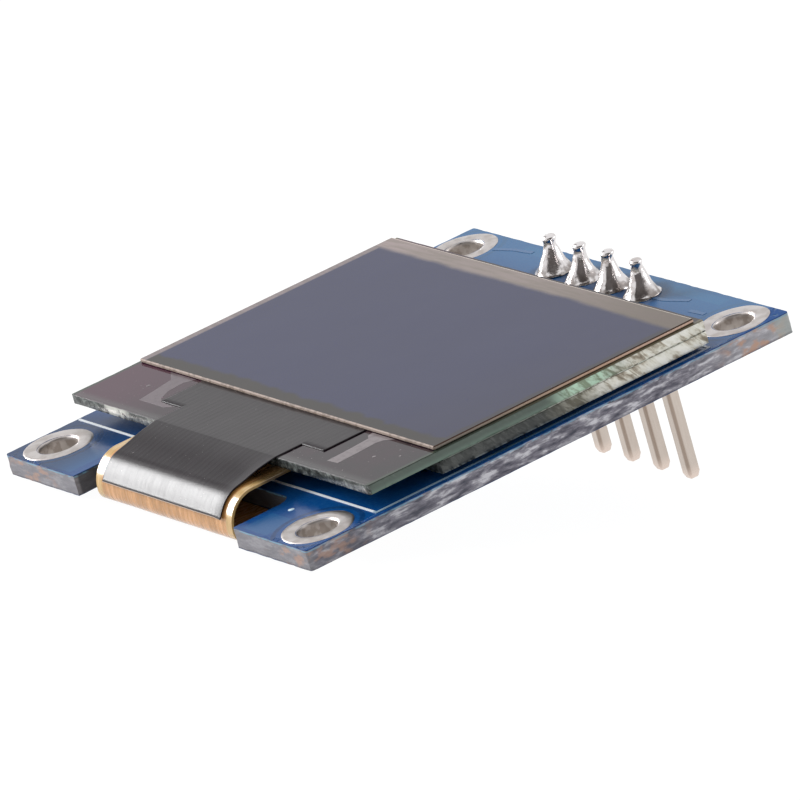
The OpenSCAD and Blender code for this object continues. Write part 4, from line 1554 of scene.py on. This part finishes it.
class MODULE_OT_stage(PieceOperator, bpy.types.Operator):
    """Camera, floor, world, lamps and dark cards."""

    bl_idname = "module.stage"
    bl_label = "Stage"

    # What the lamps and cards face, and how far off the lamps stand, in metres.
    middle = Vector((0, -3, 1)) * MM
    lamp_distance = 0.6

    def build(self):
        scene = bpy.context.scene
        scene.view_settings.view_transform = "Standard"
        self.add_camera(scene)
        up, level = self.resting_plane()
        self.add_floor(up, level)
        self.add_world(scene)
        self.add_lamps(up)
        self.add_cards(up)

    def add_camera(self, scene):
        """A long lens, by the camera's own three axes and its place."""
        right = Vector((0.53208, 0.80582, -0.25989))
        upward = Vector((-0.15670, 0.39537, 0.90506))
        back = Vector((0.83207, -0.44084, 0.33664))
        lens = bpy.data.cameras.new("camera")
        lens.sensor_width = 36.0
        lens.lens = 460.92
        lens.clip_start = 0.05
        lens.clip_end = 10.0
        camera = bpy.data.objects.new("camera", lens)
        place = Vector((401.932, -212.815, 162.753)) * MM
        camera.matrix_world = Matrix.Translation(place) @ turned((right, upward, back))
        scene.collection.objects.link(camera)
        scene.camera = camera

    def resting_plane(self):
        """The plane on which the module rests: near board edge and pin tips."""
        pin_high = box_mm("header_pin_1")[1]
        run = Vector((0, pin_high.y - BOARD_LOW.y, PIN_TIP - BOARD_LOW.z))
        up = Vector((1, 0, 0)).cross(run).normalized()
        level = min(up.dot(v.co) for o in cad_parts.values() for v in o.data.vertices)
        return up, level - 0.02 * MM

    def add_floor(self, up, level):
        """A round sheet of paper on the resting plane."""
        bm = bmesh.new()
        bmesh.ops.create_circle(bm, cap_ends=True, segments=64, radius=3.0)
        mesh = to_mesh("floor", bm)
        floor = bpy.data.objects.new("floor", mesh)
        floor.matrix_world = Matrix.Translation(up * level) @ up.to_track_quat(
            "Z", "Y").to_matrix().to_4x4()
        bpy.context.scene.collection.objects.link(floor)
        mesh.materials.append(self.floor_paper())

    def floor_paper(self):
        """White paper seen from above only; it keeps a soft shadow."""
        f = Finish("floor_paper", base_color=(0.9, 0.9, 0.9), roughness=0.9, specular=0.0)
        glow = f.node("ShaderNodeEmission", None, {"Color": WHITE, "Strength": 1.08})
        mirrored = f.ray("Glossy").most(f.ray("Transmission"))
        share = (f.ray("Camera") * 0.90).most(mirrored * 0.926)
        paper = f.node("ShaderNodeMixShader", None,
                       {0: share, 1: Val(f, f.shader.outputs[0]), 2: glow})
        clear = f.node("ShaderNodeBsdfTransparent")
        back = f.node("ShaderNodeNewGeometry", output="Backfacing")
        f.end_in(f.node("ShaderNodeMixShader", None, {0: back, 1: paper, 2: clear}))
        return f.material

    def add_world(self, scene):
        """Plain white where it is seen, and dimmer as a light on the module."""
        scene.world = bpy.data.worlds.new("studio")
        sky = Shading(scene.world, "ShaderNodeOutputWorld")
        seen = most_of(sky.ray(kind) for kind in ("Camera", "Glossy", "Transmission"))
        light, plain = (
            sky.node("ShaderNodeBackground", None, {"Color": WHITE, "Strength": strength})
            for strength in (0.56, 1.0))
        sky.end_in(sky.node("ShaderNodeMixShader", None, {0: seen, 1: light, 2: plain}))

    def add_lamps(self, up):
        """Area lamps: which way they stand, what is up for them, width, height, radiance."""
        for name, toward, above, width, height, radiance in (
                ("left_strip", Vector((-0.832, -0.365, 0.42)), Vector((0, 0.75, 0.661)),
                 0.18, 0.36, 23.0),
                ("right_softbox", Vector((0.50, 0.80, 0.12)), up, 0.30, 0.16, 4.0)):
            lamp = bpy.data.lights.new(name, "AREA")
            lamp.shape = "RECTANGLE"
            lamp.size, lamp.size_y = width, height
            lamp.energy = radiance * math.pi * width * height
            across, rise, toward = facing(toward, above)
            holder = bpy.data.objects.new(name, lamp)
            holder.matrix_world = Matrix.Translation(
                self.middle + toward * self.lamp_distance) @ turned((across, rise, toward))
            bpy.context.scene.collection.objects.link(holder)

    def add_cards(self, up):
        """Dark cards over the camera's side and above the strip lamp, seen only in
        glossy reflections: which way they stand, how far off, width and height."""
        dark = Finish("dark_card", base_color=(0.17, 0.155, 0.15), roughness=1.0, specular=0.0)
        for name, toward, far, width, height in (
                ("dark_card", Vector((0.80, -0.46, 0.50)), 0.9, 1.95, 1.2),
                ("dark_flag", Vector((-0.84, 0.05, 0.54)), 0.6, 0.20, 0.22)):
            bm = bmesh.new()
            bmesh.ops.create_grid(bm, x_segments=1, y_segments=1, size=0.5)
            mesh = to_mesh(name, bm)
            mesh.materials.append(dark.material)
            across, rise, toward = facing(toward, up)
            card = bpy.data.objects.new(name, mesh)
            card.matrix_world = Matrix.Translation(self.middle + toward * far) @ turned(
                (across * width, rise * height, toward))
            bpy.context.scene.collection.objects.link(card)
            card.visible_camera = False
            card.visible_diffuse = False
            card.visible_shadow = False
            card.visible_transmission = False


# ---- panel and registration ----

OPERATORS = (
    MODULE_OT_board, MODULE_OT_hole_pads, MODULE_OT_header, MODULE_OT_solder_cones,
    MODULE_OT_panel, MODULE_OT_ribbon, MODULE_OT_back_parts, MODULE_OT_stage,
)


class MODULE_PT_sidebar(bpy.types.Panel):
    """Lists the pieces in the 3D view's sidebar."""

    bl_idname = "MODULE_PT_sidebar"
    bl_label = "Display module"
    bl_space_type = "VIEW_3D"
    bl_region_type = "UI"
    bl_category = "Display Module"

    def draw(self, context):
        for group in (context.scene.module_sizes, context.scene.module_colours):
            column = self.layout.column()
            for name in group.__annotations__:
                column.prop(group, name)
        for operator in OPERATORS:
            self.layout.operator(operator.bl_idname)


CLASSES = (ModuleSizes, ModuleColours, *OPERATORS, MODULE_PT_sidebar)


def register():
    for cls in CLASSES:
        bpy.utils.register_class(cls)
    bpy.types.Scene.module_sizes = bpy.props.PointerProperty(type=ModuleSizes)
    bpy.types.Scene.module_colours = bpy.props.PointerProperty(type=ModuleColours)


def unregister():
    del bpy.types.Scene.module_colours
    del bpy.types.Scene.module_sizes
    for cls in reversed(CLASSES):
        bpy.utils.unregister_class(cls)


def main():
    register()
    bpy.ops.module.board()
    bpy.ops.module.hole_pads()
    bpy.ops.module.header()
    bpy.ops.module.solder_cones()
    bpy.ops.module.panel()
    bpy.ops.module.ribbon()
    bpy.ops.module.back_parts()
    bpy.ops.module.stage()


if __name__ == "__main__":
    main()
